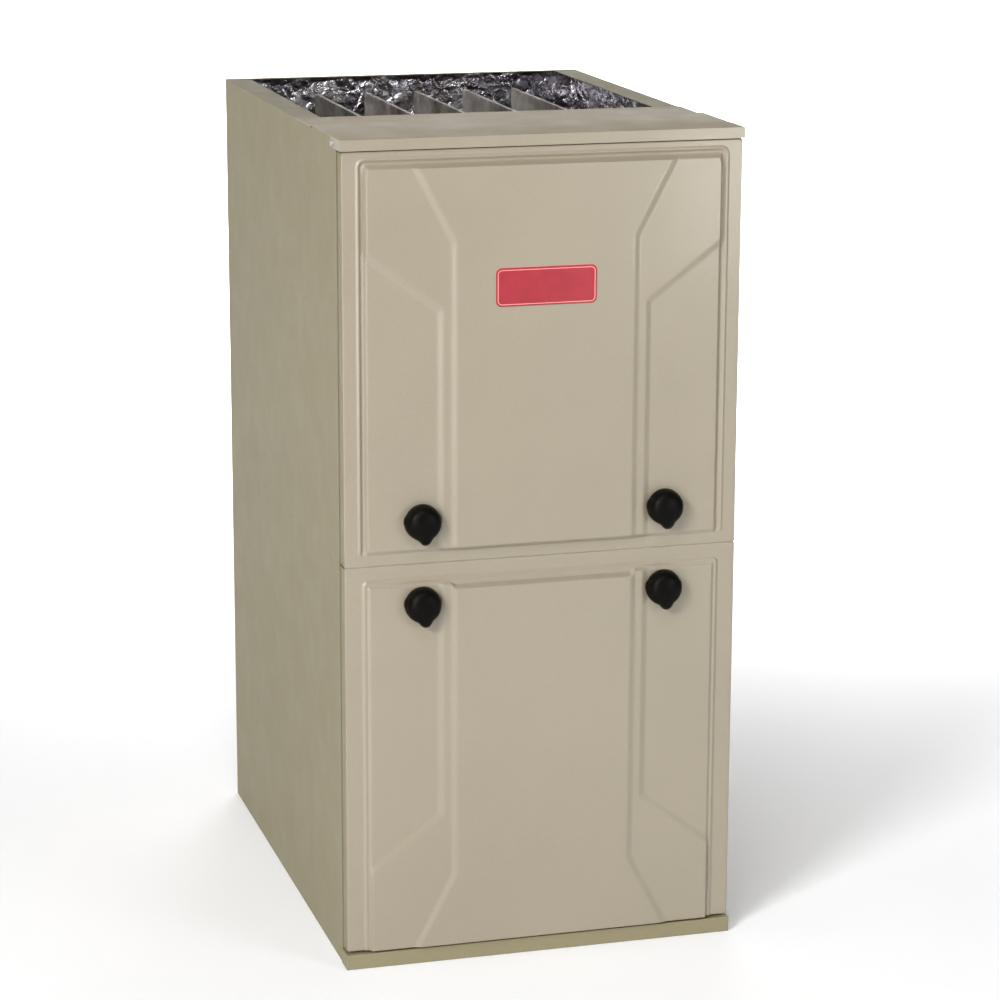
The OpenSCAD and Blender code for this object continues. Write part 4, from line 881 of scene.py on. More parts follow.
# ---------------------------------------------------------------- doors

def ease(value, low, high):
    """A smooth step from 0 at low to 1 at high."""
    t = min(max((value - low) / (high - low), 0.0), 1.0)
    return t * t * (3 - 2 * t)


def ramp(value, low, high):
    """A straight slope with softly rounded ends."""
    t = min(max((value - low) / (high - low), 0.0), 1.0)
    return 0.65 * t + 0.35 * t * t * (3 - 2 * t)


def box_inside(x, z, half, low, high, radius):
    """Distance from a point to the edge of a rounded rectangle, counted positive inside."""
    cx, cz = 0.0, (low + high) / 2
    px = abs(x - cx) - (half - radius)
    pz = abs(z - cz) - ((high - low) / 2 - radius)
    outside = math.hypot(max(px, 0), max(pz, 0))
    return -(outside + min(max(px, pz), 0) - radius)


def panel_steps(x, z, wide, way, half, s):
    """Height of the pressed panels over the side panels; way is the direction towards the wide end."""
    ax = abs(x)
    to_wide = (wide - z) * way
    w = s.slope / 2
    spread = s.centre_wide - s.centre_half
    lean = spread / s.centre_reach
    edge = s.centre_half + max(0.0, s.centre_reach - to_wide) * lean
    slant = math.cos(math.atan(lean)) if to_wide < s.centre_reach else 1.0
    centre = ramp((edge - ax) * slant, -w, w)
    fall = (s.side_inner - s.side_outer) / (half - s.side_in)
    line = s.side_inner - (ax - s.side_in) * fall
    below = (to_wide - line) * math.cos(math.atan(fall))
    side = ramp(min(ax - s.side_in, below), -w, w)
    return s.step * (1 - side) + s.step * centre


RIM_SET_BACK = 0.003


def upper_relief(x, z, s):
    """How far the upper door's pressed face stands forward at a point: edge bead, rise and panels."""
    inside = box_inside(x, z, 0.2275, 0.480, 0.9915, 0.011)
    bead = 0.0016 * ramp(inside, -0.0006, 0.0018) - 0.0031 * ramp(inside, 0.0026, 0.0056)
    rise = ramp(inside, 0.0078, 0.0114 + 0.0020 * ease(z, 0.970, 0.978))
    low = ease(z, 0.5185, 0.5250)
    return (bead + rise * (0.0015 + RIM_SET_BACK + panel_steps(x, z, 0.980, 1, 0.218, s))) * low


def lower_relief(x, z, s):
    """The same for the lower door, whose wide end is at the bottom."""
    inside = box_inside(x, z, 0.2235, -0.05, 0.4890, 0.007)
    bead = 0.0021 * ramp(inside, 0.0, 0.0034) - 0.0007 * ramp(inside, 0.0040, 0.0054)
    dip = 0.005 * ease(s.centre_half - abs(x), -0.003, 0.003)
    rise = ramp(min(0.4822 - dip - z, inside - 0.0062), 0.0, 0.0036)
    return bead + rise * (0.0022 + panel_steps(x, z, 0.022, -1, 0.216, s))


def spaced(low, high, dense, fine, coarse):
    """Positions from low to high, fine within the dense bands (start, end, share) and coarse elsewhere."""
    lines = [low]
    while lines[-1] < high - 1e-6:
        here = lines[-1]
        within = [fine * share for a, b, share in dense if a - 1e-9 <= here < b - 1e-9]
        step = within[0] if within else coarse
        for a, b, share in dense:
            if here + 1e-6 < a < here + step:
                step = a - here
        lines.append(min(here + step, high))
    if len(lines) > 2 and lines[-1] - lines[-2] < fine * 0.3:
        del lines[-2]
    return lines


def door_sheet(name, low, high, dense_z, relief, s):
    """The pressed face with its bent edges as one sheet, open at its corners."""
    bend = 0.0014
    flat_x = DOOR_HALF - bend
    rim_y = DOOR_FACE_Y + RIM_SET_BACK
    dense_x = [(0.1035, 0.2105, 1.0), (0.2105, 0.2295, 0.55), (0.2295, flat_x, 1.4)]
    positive = spaced(0.0, flat_x, dense_x, s.grid, 0.0125)
    columns = [-x for x in reversed(positive[1:])] + positive
    rows = spaced(low + bend, high - bend, dense_z, s.grid, 0.0115)
    arc = [math.radians(22.5 * k) for k in range(1, 5)]
    back = [0.25, 0.6, 1.0]

    def line(values, side):
        """The bend and the return at one end of a row, as (position, set back, share of the return)."""
        edge = values[-1] if side > 0 else values[0]
        bent = [(edge + side * bend * math.sin(a), bend * (1 - math.cos(a)), 0.0) for a in arc]
        bent += [(edge + side * bend, bend, t) for t in back]
        return bent if side > 0 else list(reversed(bent))

    us = line(columns, -1) + [(x, 0.0, 0.0) for x in columns] + line(columns, 1)
    vs = line(rows, -1) + [(z, 0.0, 0.0) for z in rows] + line(rows, 1)
    holes = [(x, z) for x, z in KNOBS.values() if low < z < high]
    bm = bmesh.new()
    grid = []
    for z, set_z, share_z in vs:
        row = []
        for x, set_x, share_x in us:
            if (set_x or share_x) and (set_z or share_z):
                row.append(None)
                continue
            flat_z = min(max(z, low + bend), high - bend)
            y = rim_y - relief(min(max(x, -flat_x), flat_x), flat_z, s) + set_x + set_z
            share = max(share_x, share_z)
            y = y * (1 - share) + (FRAME_Y - 0.0004) * share
            row.append(bm.verts.new((x, y, z)))
        grid.append(row)
    for j in range(len(vs) - 1):
        for i in range(len(us) - 1):
            quad = (grid[j][i], grid[j][i + 1], grid[j + 1][i + 1], grid[j + 1][i])
            if None in quad:
                continue
            x, z = (us[i][0] + us[i + 1][0]) / 2, (vs[j][0] + vs[j + 1][0]) / 2
            if any(math.hypot(x - hx, z - hz) < 0.0065 for hx, hz in holes):
                continue
            # the bent returns at the sides take the darker casing colour: painted shade for faces turned away
            # from the front
            bm.faces.new(quad).material_index = int(abs(x) > flat_x + bend * 0.6)
    piece = placed(name, bm, ["door paint", "shaded casing paint"], name.replace("_sheet", ""),
                   (name.replace("_sheet", ""),), 50.0)
    thick = piece.modifiers.new("sheet_thickness", "SOLIDIFY")
    thick.thickness = 0.0011
    thick.offset = -1.0
    thick.use_even_offset = True
    return piece


class FURNACE_OT_doors(bpy.types.Operator):
    """Presses the two embossed doors"""
    bl_idname = "furnace.doors"
    bl_label = "Doors"

    def execute(self, context):
        s = context.scene.furnace_doors
        door_sheet("upper_door_sheet", upper_low[2] - 0.0006, upper_high[2] + 0.0021,
                   [(0.5165, 0.5275, 0.8), (0.806, 0.974, 1.0), (0.974, 0.9935, 0.55)], upper_relief, s)
        door_sheet("lower_door_sheet", lower_low[2], lower_high[2] + 0.0006,
                   [(0.022, 0.200, 1.0), (0.468, 0.491, 0.55)], lower_relief, s)
        return {"FINISHED"}


# ---------------------------------------------------------------- knobs and plate

def turn_from(angle, degrees):
    """Degrees from a direction to an angle, between -180 and 180."""
    return (math.degrees(angle) - degrees + 180) % 360 - 180


def knob_outline(angle, level, s):
    """Radius of the knob round its axis; angle 0 points to the right and -90 degrees down."""
    down = turn_from(angle, -83)
    undercut = 0.25 + 0.75 * ease(level, 0.04, 0.34)
    pointer = (s.tip - s.radius) * math.exp(-abs(down / 17.0) ** 2.6) * (1.08 - 0.38 * level) * undercut
    ear = 0.0010 * sum(math.exp(-abs(turn_from(angle, a) / 15.0) ** 4) for a in (8, 172))
    return s.radius + pointer + ear * (1 - ease(level, 0.30, 0.42))


def knob(name, centre, s):
    x0, z0 = centre
    back = DOOR_FACE_Y - 0.0026
    front = DOOR_FACE_Y - s.proud
    rings = [(0.00, 0.955), (0.02, 0.985), (0.06, 1.0), (0.14, 1.0), (0.22, 0.995), (0.30, 0.99), (0.37, 0.98),
             (0.46, 0.965), (0.60, 0.92), (0.71, 0.86), (0.80, 0.775), (0.87, 0.67), (0.925, 0.545),
             (0.963, 0.40), (0.988, 0.24), (0.997, 0.10)]
    sides = 120
    bm = bmesh.new()
    made = []
    for level, share in rings:
        y = back + (front - back) * level
        ring = []
        for k in range(sides):
            t = 2 * math.pi * k / sides
            r = knob_outline(t, level, s) * share
            ring.append(bm.verts.new((x0 + r * math.cos(t), y, z0 + r * math.sin(t))))
        made.append(ring)
    skin(bm, made, closed=False)
    tip = bm.verts.new((x0, front, z0))
    base = bm.verts.new((x0, back, z0))
    for k in range(sides):
        bm.faces.new((made[-1][k], made[-1][(k + 1) % sides], tip))
        bm.faces.new((made[0][(k + 1) % sides], made[0][k], base))
    bmesh.ops.remove_doubles(bm, verts=bm.verts, dist=MERGE)
    face_out(bm)
    stud = corners(name)[1][1] - back
    add_turned(bm, [(0.0, 0.0042), (0.0002, 0.0046), (stud - 0.001, 0.0046), (stud, 0.0036)],
               (x0, back, z0), REAR, 24)
    return placed(name + "_grip", bm, ["knob black"], name, (name,), 40.0)


class FURNACE_OT_knobs(bpy.types.Operator):
    """Moulds the four pointed quarter-turn knobs"""
    bl_idname = "furnace.knobs"
    bl_label = "Knobs"

    def execute(self, context):
        for name, centre in KNOBS.items():
            knob(name, centre, context.scene.furnace_knobs)
        return {"FINISHED"}


def rounded_loop(bm, low, high, radius, inset, y):
    """Ring of vertices round a rounded rectangle, moved in from its edge."""
    steps = 8
    cx, cz = (low[0] + high[0]) / 2, (low[1] + high[1]) / 2
    hx, hz = (high[0] - low[0]) / 2, (high[1] - low[1]) / 2
    points = []
    for corner, (sx, sz) in enumerate(((1, -1), (1, 1), (-1, 1), (-1, -1))):
        for n in range(steps + 1):
            t = math.radians(-90 + 90 * corner + 90 * n / steps)
            points.append(bm.verts.new((cx + sx * (hx - radius) + (radius - inset) * math.cos(t), y,
                                        cz + sz * (hz - radius) + (radius - inset) * math.sin(t))))
    return points


def add_rounded_plate(bm, low, high, radius, y_front, y_back, slot):
    """Flat plate with rounded corners and a small chamfer, facing -Y."""
    chamfer = min(0.0005, abs(y_back - y_front) * 0.5)
    skin(bm, [rounded_loop(bm, low, high, radius, inset, y)
              for inset, y in ((0.0, y_back), (0.0, y_front + chamfer), (chamfer, y_front))], slot)


def add_frame_line(bm, low, high, radius, width, y_front, y_back, slot):
    """Thin raised line round a rounded rectangle."""
    loops = [rounded_loop(bm, low, high, radius, inset, y)
             for inset, y in ((0.0, y_back), (0.0, y_front), (width, y_front), (width, y_back))]
    skin(bm, loops + loops[:1], slot, closed=False)


class FURNACE_OT_name_plate(bpy.types.Operator):
    """Makes the bare red plate on the upper door"""
    bl_idname = "furnace.name_plate"
    bl_label = "Plate"

    def execute(self, context):
        low, high = corners("name_plate")
        bm = bmesh.new()
        add_rounded_plate(bm, (low[0], low[2]), (high[0], high[2]), 0.007, low[1] + 0.0001, high[1], 0)
        inset = 0.0022
        add_frame_line(bm, (low[0] + inset, low[2] + inset), (high[0] - inset, high[2] - inset), 0.0052,
                       0.0009, low[1], low[1] + 0.0004, 1)
        face_out(bm)
        placed("name_plate_enamel", bm, ["plate red", "plate line"], "upper_door",
               ("name_plate",), 30.0)
        return {"FINISHED"}


# ---------------------------------------------------------------- insulation

def foil_height(point, s, side):
    """Depth of the creases at a point of the foil: broad buckles, sharp folds and fine crumples."""
    p = Vector(point)
    broad = noise.noise(p * 9.0 + Vector((side, 0, 0)))
    fold = 1.0 - 2.0 * abs(noise.noise(p * 26.0 + Vector((0, side, 3.1))))
    fine = abs(noise.noise(p * 75.0 + Vector((5.2, 0, side))))
    return s.crinkle * (0.30 * broad + 0.45 * fold + 0.55 * fine)


def foil_batt(bm, low, high, face_axis, face_side, s):
    """A slab of insulation whose inner face is buckled foil; face_axis is 0 for x and 1 for y."""
    across = 1 - face_axis
    wide = high[across] - low[across]
    tall = high[2] - low[2]
    columns = max(int(wide / s.step), 2)
    rows = max(int(tall / s.step), 2)
    inner = high[face_axis] if face_side > 0 else low[face_axis]
    outer = low[face_axis] if face_side > 0 else high[face_axis]
    front, back = [], []
    for j in range(rows + 1):
        z = low[2] + tall * j / rows
        line_f, line_b = [], []
        for i in range(columns + 1):
            a = low[across] + wide * i / columns
            edge = min(i, columns - i, j, rows - j)
            point = [0, 0, z]
            point[across] = a
            point[face_axis] = inner
            sunk = 0.0045 + foil_height(point, s, face_axis * 7 + face_side)
            sunk = min(max(sunk, 0.0002), 0.0095) if edge > 0 else 0.0055
            point[face_axis] = inner - face_side * sunk
            line_f.append(bm.verts.new(point))
            point[face_axis] = outer
            if j in (0, rows) or i in (0, columns):
                line_b.append(bm.verts.new(point))
            else:
                line_b.append(None)
        front.append(line_f)
        back.append(line_b)
    for j in range(rows):
        for i in range(columns):
            bm.faces.new((front[j][i], front[j][i + 1], front[j + 1][i + 1], front[j + 1][i]))
    rim = [(0, i) for i in range(columns + 1)] + [(j, columns) for j in range(1, rows + 1)]
    rim += [(rows, i) for i in range(columns - 1, -1, -1)] + [(j, 0) for j in range(rows - 1, 0, -1)]
    for (j, i), (m, n) in zip(rim, rim[1:] + rim[:1]):
        bm.faces.new((front[j][i], back[j][i], back[m][n], front[m][n]))
    bm.faces.new([back[j][i] for j, i in rim])


class FURNACE_OT_insulation(bpy.types.Operator):
    """Lines the casing with crumpled foil-faced insulation"""
    bl_idname = "furnace.insulation"
    bl_label = "Insulation"

    def execute(self, context):
        s = context.scene.furnace_foil
        low, high = corners("insulation_liner")
        thick = 0.012
        rear = high[1] - thick
        bm = bmesh.new()
        foil_batt(bm, (low[0], rear, low[2]), (high[0], high[1], high[2]), 1, -1, s)
        foil_batt(bm, (high[0] - thick, low[1], low[2]), (high[0], rear - 0.0003, high[2]), 0, -1, s)
        foil_batt(bm, (low[0], low[1], low[2]), (low[0] + thick, rear - 0.0003, high[2]), 0, 1, s)
        face_out(bm)
        placed("insulation_foil", bm, ["foil"], "casing", ("insulation_liner",), 28.0)
        return {"FINISHED"}


# ---------------------------------------------------------------- heat exchanger

def cell_profile(y, z, low, high, inlet_z):
    """Half thickness of a pressed cell at a point: serpentine gas passes between flat webs."""
    front, rear = low[1] + 0.014, high[1] - 0.014
    best = 0.0
    passes = ((0.0, 0.030, 0.017), (0.110, 0.024, 0.014), (0.205, 0.020, 0.011), (0.290, 0.017, 0.009))
    for rise, half, thick in passes:
        inside_y = min(y - front, rear - y)
        d = half - abs(z - inlet_z - rise)
        if inside_y < half:
            d = half - math.hypot(half - inside_y, z - inlet_z - rise)
        best = max(best, thick * ease(d, 0.0, half * 0.62))
    for index in range(3):
        thick = passes[index + 1][2]
        end = rear - 0.022 if index % 2 == 0 else front + 0.022
        rise = passes[index][0]
        if inlet_z + rise < z < inlet_z + passes[index + 1][0]:
            best = max(best, thick * ease(0.018 - abs(y - end), 0.0, 0.011))
    throat = 0.021 - abs(z - inlet_z)
    if y < low[1] + 0.045:
        mouth = math.sqrt(max(0.0, 1 - ((z - inlet_z) / 0.0215) ** 2))
        best = max(best, 0.0205 * mouth * ease(throat, 0.0, 0.004))
    rows = 0.0
    for column in range(6):
        cy = front + 0.055 + column * 0.052
        for line in (0.050, 0.158, 0.248):
            dimple = math.hypot(y - cy, z - inlet_z - line)
            rows = max(rows, 0.0022 * ease(0.011 - dimple, 0.0, 0.006))
    return max(best, 0.0011 + rows)


class FURNACE_OT_heat_exchanger(bpy.types.Operator):
    """Presses the five clamshell cells with their crimped edges"""
    bl_idname = "furnace.heat_exchanger"
    bl_label = "Heat Exchanger"

    def execute(self, context):
        s = context.scene.furnace_cells
        for number in range(1, CELL_COUNT + 1):
            name = f"heat_exchanger_cell_{number}"
            low, high = corners(name)
            middle = (low[0] + high[0]) / 2
            inlet_z = low[2] + 0.040
            columns = int((high[1] - low[1]) / s.step)
            rows = int((high[2] - low[2]) / s.step)
            bm = bmesh.new()
            sheets = []
            for side in (-1, 1):
                grid = []
                for j in range(rows + 1):
                    z = low[2] + (high[2] - low[2]) * j / rows
                    line = []
                    for i in range(columns + 1):
                        y = low[1] + (high[1] - low[1]) * i / columns
                        from_edge = min(high[1] - y, high[2] - z)
                        half = cell_profile(y, z, low, high, inlet_z)
                        wave = 0.00035 * math.sin((y + z) * 260.0)
                        if from_edge < 0.0085:
                            half = 0.0021 + wave
                        line.append(bm.verts.new((middle + side * half, y, z)))
                    grid.append(line)
                sheets.append(grid)
                for j in range(rows):
                    for i in range(columns):
                        quad = (grid[j][i], grid[j][i + 1], grid[j + 1][i + 1], grid[j + 1][i])
                        bm.faces.new(quad if side > 0 else tuple(reversed(quad)))
            left, right = sheets
            rim = [(0, i) for i in range(columns + 1)] + [(j, columns) for j in range(1, rows + 1)]
            rim += [(rows, i) for i in range(columns - 1, -1, -1)]
            for (j, i), (m, n) in zip(rim, rim[1:]):
                bm.faces.new((left[j][i], left[m][n], right[m][n], right[j][i]))
            for j in range(rows):
                z = (left[j][0].co.z + left[j + 1][0].co.z) / 2
                if abs(z - inlet_z) > 0.0175:
                    bm.faces.new((left[j + 1][0], left[j][0], right[j][0], right[j + 1][0]))
            face_out(bm)
            placed(f"cell_{number}_pressing", bm, ["cell steel"], "casing", (name,), 60.0)
        return {"FINISHED"}


# ---------------------------------------------------------------- fittings inside the casing

def add_lathe(bm, loop, centre, axis, sides=48, slot=0):
    """Ring turned from a closed outline of (distance along the axis, radius) points."""
    way, side, other = axes(axis)
    rings = []
    for k in range(sides):
        t = 2 * math.pi * k / sides
        spoke = side * math.cos(t) + other * math.sin(t)
        rings.append([bm.verts.new(Vector(centre) + way * along + spoke * radius) for along, radius in loop])
    skin(bm, rings + rings[:1], slot, closed=False)


def add_band(bm, start, end, inner, outer, centre, axis, sides, slot=0):
    """Ring of rectangular section that runs from start to end along the axis."""
    add_lathe(bm, [(start, inner), (start, outer), (end, outer), (end, inner)], centre, axis, sides, slot)


def painted_parts(node_name, keys, chooser, width=0.0004):
    """A dressed solid whose faces take one of several finishes, chosen by where the face is."""
    piece = dressed(node_name, keys[0], width)
    for key in keys[1:]:
        piece.data.materials.append(finish(key))
    for face in piece.data.polygons:
        face.material_index = chooser(face.center)
    return piece


def wires(name, runs, radius=0.0011):
    """Single insulated wires, each along its own smooth line."""
    bm = bmesh.new()
    keys = []
    for key, points in runs:
        if key not in keys:
            keys.append(key)
        add_tube(bm, smooth_line(points, 6), radius, 8, keys.index(key))
    return placed(name, bm, keys, "casing", (), 60.0)


def add_spade(bm, place, way, slot=0):
    """Flat push-on terminal with its crimped barrel."""
    way, place = Vector(way).normalized(), Vector(place)
    side = Vector(RIGHT if abs(way.x) < 0.5 else REAR)
    near, far = place - side * 0.0032, place + side * 0.0032 + way * 0.007
    low = [min(a, b) for a, b in zip(near, far)]
    high = [max(a, b) for a, b in zip(near, far)]
    for k in range(3):
        if high[k] - low[k] < 0.001:
            low[k] -= 0.0007
            high[k] += 0.0007
    add_box(bm, low, high, slot)
    add_turned(bm, [(0.0, 0.0016), (0.0006, 0.0020), (0.0060, 0.0020), (0.0066, 0.0015)],
               place + way * 0.0065, way, 12, slot)


class FURNACE_OT_burners(bpy.types.Operator):
    """Finishes the burners, their box, the manifold and the parts that light and watch the flame"""
    bl_idname = "furnace.burners"
    bl_label = "Burners"

    def execute(self, context):
        for number in range(1, CELL_COUNT + 1):
            dressed(f"burner_{number}", "burner steel", 0.0002)
        dressed("burner_box", "galvanised", 0.0003)
        dressed("gas_manifold", "pipe black", 0.0005)
        dressed("orifices", "brass", 0.0002)
        high = corners("burner_box")[1]
        top = high[2]
        painted_parts("igniter", ["ceramic", "element"], lambda c: int(c.z < top - 0.0125), 0.0003)
        painted_parts("flame_sensor", ["ceramic", "zinc"],
                      lambda c: int(c.z < top - 0.0125 or top - 0.0001 < c.z < top + 0.0013), 0.0003)
        painted_parts("rollout_switch", ["switch black", "zinc"], lambda c: int(c.z < top + 0.0013), 0.0003)
        dressed("rollout_reset_button", "red plastic", 0.0006, 3)
        plane = corners("collector_box")[1][1]
        painted_parts("limit_switch", ["switch black", "zinc"],
                      lambda c: int(c.y > plane - 0.0013 or c.y < plane - 0.0131), 0.0003)

        bm = bmesh.new()
        for number in range(1, CELL_COUNT + 1):
            x, _, z = centre_of(f"burner_{number}")
            mouth = corners(f"burner_{number}")[0][1]
            add_band(bm, 0.0, 0.0030, 0.0144, 0.0153, (x, mouth + 0.098 - 0.020, z), REAR, 32)
            for side in (-1, 1):
                add_box(bm, (x + side * 0.0172 - 0.0030, mouth + 0.018, z - 0.0006),
                        (x + side * 0.0172 + 0.0030 * side + 0.0030, mouth + 0.074, z + 0.0006))
        face_out(bm)
        placed("burner_seams", bm, ["burner steel"], "casing")

        places = [((x, high[1] - 0.030, top), UP) for x in (-0.150, -0.136, -0.034, 0.068, 0.136, 0.150)]
        for x in (-0.012, 0.012):
            places.append(((x, corners("rollout_switch")[1][1] - 0.009, top + 0.0012), UP))
        for x in (0.014, 0.054):
            places.append(((x, plane - 0.0012, corners("limit_switch")[0][2] + 0.011), FRONT))
        screws("burner_screws", places, head=0.0026, flange=0.0038)
        return {"FINISHED"}


class FURNACE_OT_gas_valve(bpy.types.Operator):
    """Finishes the gas control with its cap, covers, solenoid head and terminals"""
    bl_idname = "furnace.gas_valve"
    bl_label = "Gas Valve"

    def execute(self, context):
        dressed("gas_valve", "die cast", 0.0008, 3)
        dressed("gas_valve_switch", "switch blue", 0.0005, 3)
        low, high = corners("gas_valve")
        middle = (low[0] + high[0]) / 2
        front = low[1] + 0.004
        deck = high[2] - 0.034
        bm = bmesh.new()
        cap = (low[0] + 0.022, low[1] + 0.022, high[2] - 0.012)
        add_turned(bm, [(0.0121, 0.0070), (0.0125, 0.0084), (0.0132, 0.0086), (0.0150, 0.0086),
                        (0.0156, 0.0079)], cap, UP, 36, 0)
        add_box(bm, (cap[0] - 0.0062, cap[1] - 0.0007, cap[2] + 0.0155),
                (cap[0] + 0.0062, cap[1] + 0.0007, cap[2] + 0.0159), 3)
        add_box(bm, (middle - 0.020, front - 0.0010, deck - 0.038),
                (middle + 0.004, front + 0.0004, deck - 0.010), 1)
        add_box(bm, (low[0] + 0.0135, front + 0.0056, deck + 0.0040),
                (high[0] - 0.0135, front + 0.0064, deck + 0.0180), 2)
        for x in (middle - 0.010, middle, middle + 0.010):
            add_spade(bm, (x, front + 0.0300, deck + 0.0215), UP, 3)
        for x in (low[0] + 0.016, high[0] - 0.016):
            add_turned(bm, [(0.0, 0.0036), (0.0008, 0.0036), (0.0012, 0.0030)],
                       (x, low[1] + 0.0001, low[2] + 0.009), FRONT, 6, 3)
        for k in range(7):
            x = low[0] + 0.0175 + k * 0.0055
            add_box(bm, (x, front + 0.0300, deck - 0.0005), (x + 0.0016, front + 0.0540, deck + 0.0006), 1)
        face_out(bm)
        rounded(placed("gas_valve_fittings", bm, ["relay white", "die cast", "switch black", "brass"],
                       "casing"), 0.0003)
        places = [((x, front, z), FRONT) for x in (low[0] + 0.010, high[0] - 0.010)
                  for z in (deck - 0.052, deck - 0.007)]
        places += [((x, y, deck), UP) for x in (low[0] + 0.0092, high[0] - 0.0092)
                   for y in (front + 0.004, front + 0.050)]
        screws("gas_valve_screws", places, "casing", "die_cast", head=0.0021, flange=0.0028, height=0.0020)
        return {"FINISHED"}


class FURNACE_OT_inducer(bpy.types.Operator):
    """Finishes the collector, the inducer with its motor, the vent collar and the pressure switch"""
    bl_idname = "furnace.inducer"
    bl_label = "Inducer"

    def execute(self, context):
        dressed("collector_box", "flue steel", 0.0006, 3)
        dressed("inducer_housing", "galvanised", 0.0005, 3)
        dressed("inducer_wheel", "wheel steel", 0.0002)
        dressed("inducer_cooling_fan", "nylon", 0.0003)
        dressed("vent_adapter", "flue steel", 0.0005)
        low, high = corners("inducer_motor")
        x0, y0, z0 = centre_of("inducer_motor")

        def motor_part(c):
            if max(abs(c.x - x0), abs(c.z - z0)) > 0.0385:
                return 1
            return 2 if c.y < low[1] + 0.0155 else 0

        painted_parts("inducer_motor", ["motor black", "transformer iron", "die cast"], motor_part, 0.0005)
        ps_low, ps_high = corners("pressure_switch")
        painted_parts("pressure_switch", ["switch black", "galvanised"],
                      lambda c: int(c.y > ps_high[1] - 0.0013), 0.0006)
        dressed("pressure_hose", "hose rubber", 0.0002, 1, 60.0)

        bm = bmesh.new()
        for side in (-1, 1):
            add_turned(bm, [(-0.016, 0.0085), (-0.014, 0.0105), (0.014, 0.0105), (0.016, 0.0085)],
                       (x0 + side * 0.0335, y0 + 0.004, z0), UP, 24, 0)
        for k in range(7):
            add_band(bm, 0.0, 0.0012, 0.0378, 0.0386, (x0, low[1] + 0.0235 + k * 0.0035, z0), REAR, 48, 1)
        ps_x, _, ps_z = centre_of("pressure_switch")
        centre = (ps_x, ps_high[1], ps_z)
        add_band(bm, 0.0215, 0.0255, 0.0296, 0.0306, centre, FRONT, 56, 2)
        add_lathe(bm, [(0.0340, 0.0140), (0.0340, 0.0190), (0.0348, 0.0180), (0.0348, 0.0140)], centre,
                  FRONT, 40, 2)
        add_band(bm, -0.003, -0.010, 0.0040, 0.0062, (x0 - 0.040, high[1], z0 + 0.030), REAR, 20, 2)
        face_out(bm)
        placed("inducer_fittings", bm, ["copper", "motor black", "zinc"], "casing")

        face = corners("inducer_housing")[0][1]
        places = []
        for k in range(7):
            t = math.radians(150 + 40 * k)
            places.append(((x0 + 0.0555 * math.cos(t), face + 0.0059, z0 + 0.0555 * math.sin(t)), FRONT))
        c_low = corners("collector_box")[0]
        for x in (-0.155, -0.135, 0.060, 0.110, 0.155):
            places.append(((x, c_low[1], c_low[2] + 0.009), FRONT))
        for x in (ps_x - 0.0315, ps_x + 0.0315):
            places.append(((x, ps_high[1] - 0.0012, ps_low[2] + 0.012), FRONT))
        screws("inducer_screws", places, "casing", "flue_steel", head=0.0030, flange=0.0044)
        return {"FINISHED"}


def connector_tree():
    """Row of square pins for the board's plugs."""
    t = Tree("board_pins", {"Width": 0.0007, "Height": 0.0046})
    pin = t.add("GeometryNodeMeshCube", {"Size": t.add("ShaderNodeCombineXYZ", {
        "X": t.size("Width"), "Y": t.size("Width"), "Z": t.size("Height")}).outputs[0]}).outputs["Mesh"]
    tip = t.add("GeometryNodeMeshCone", {"Vertices": 4, "Radius Top": 0.0001, "Radius Bottom": 0.0005,
                                         "Depth": 0.0006}).outputs["Mesh"]
    low = t.moved(pin, t.up(t.maths("MULTIPLY", t.size("Height"), 0.5)))
    high = t.moved(tip, t.up(t.size("Height")), turn=(0.0, 0.0, math.radians(45)))
    return t.close(t.joined(low, high), finish("brass"))


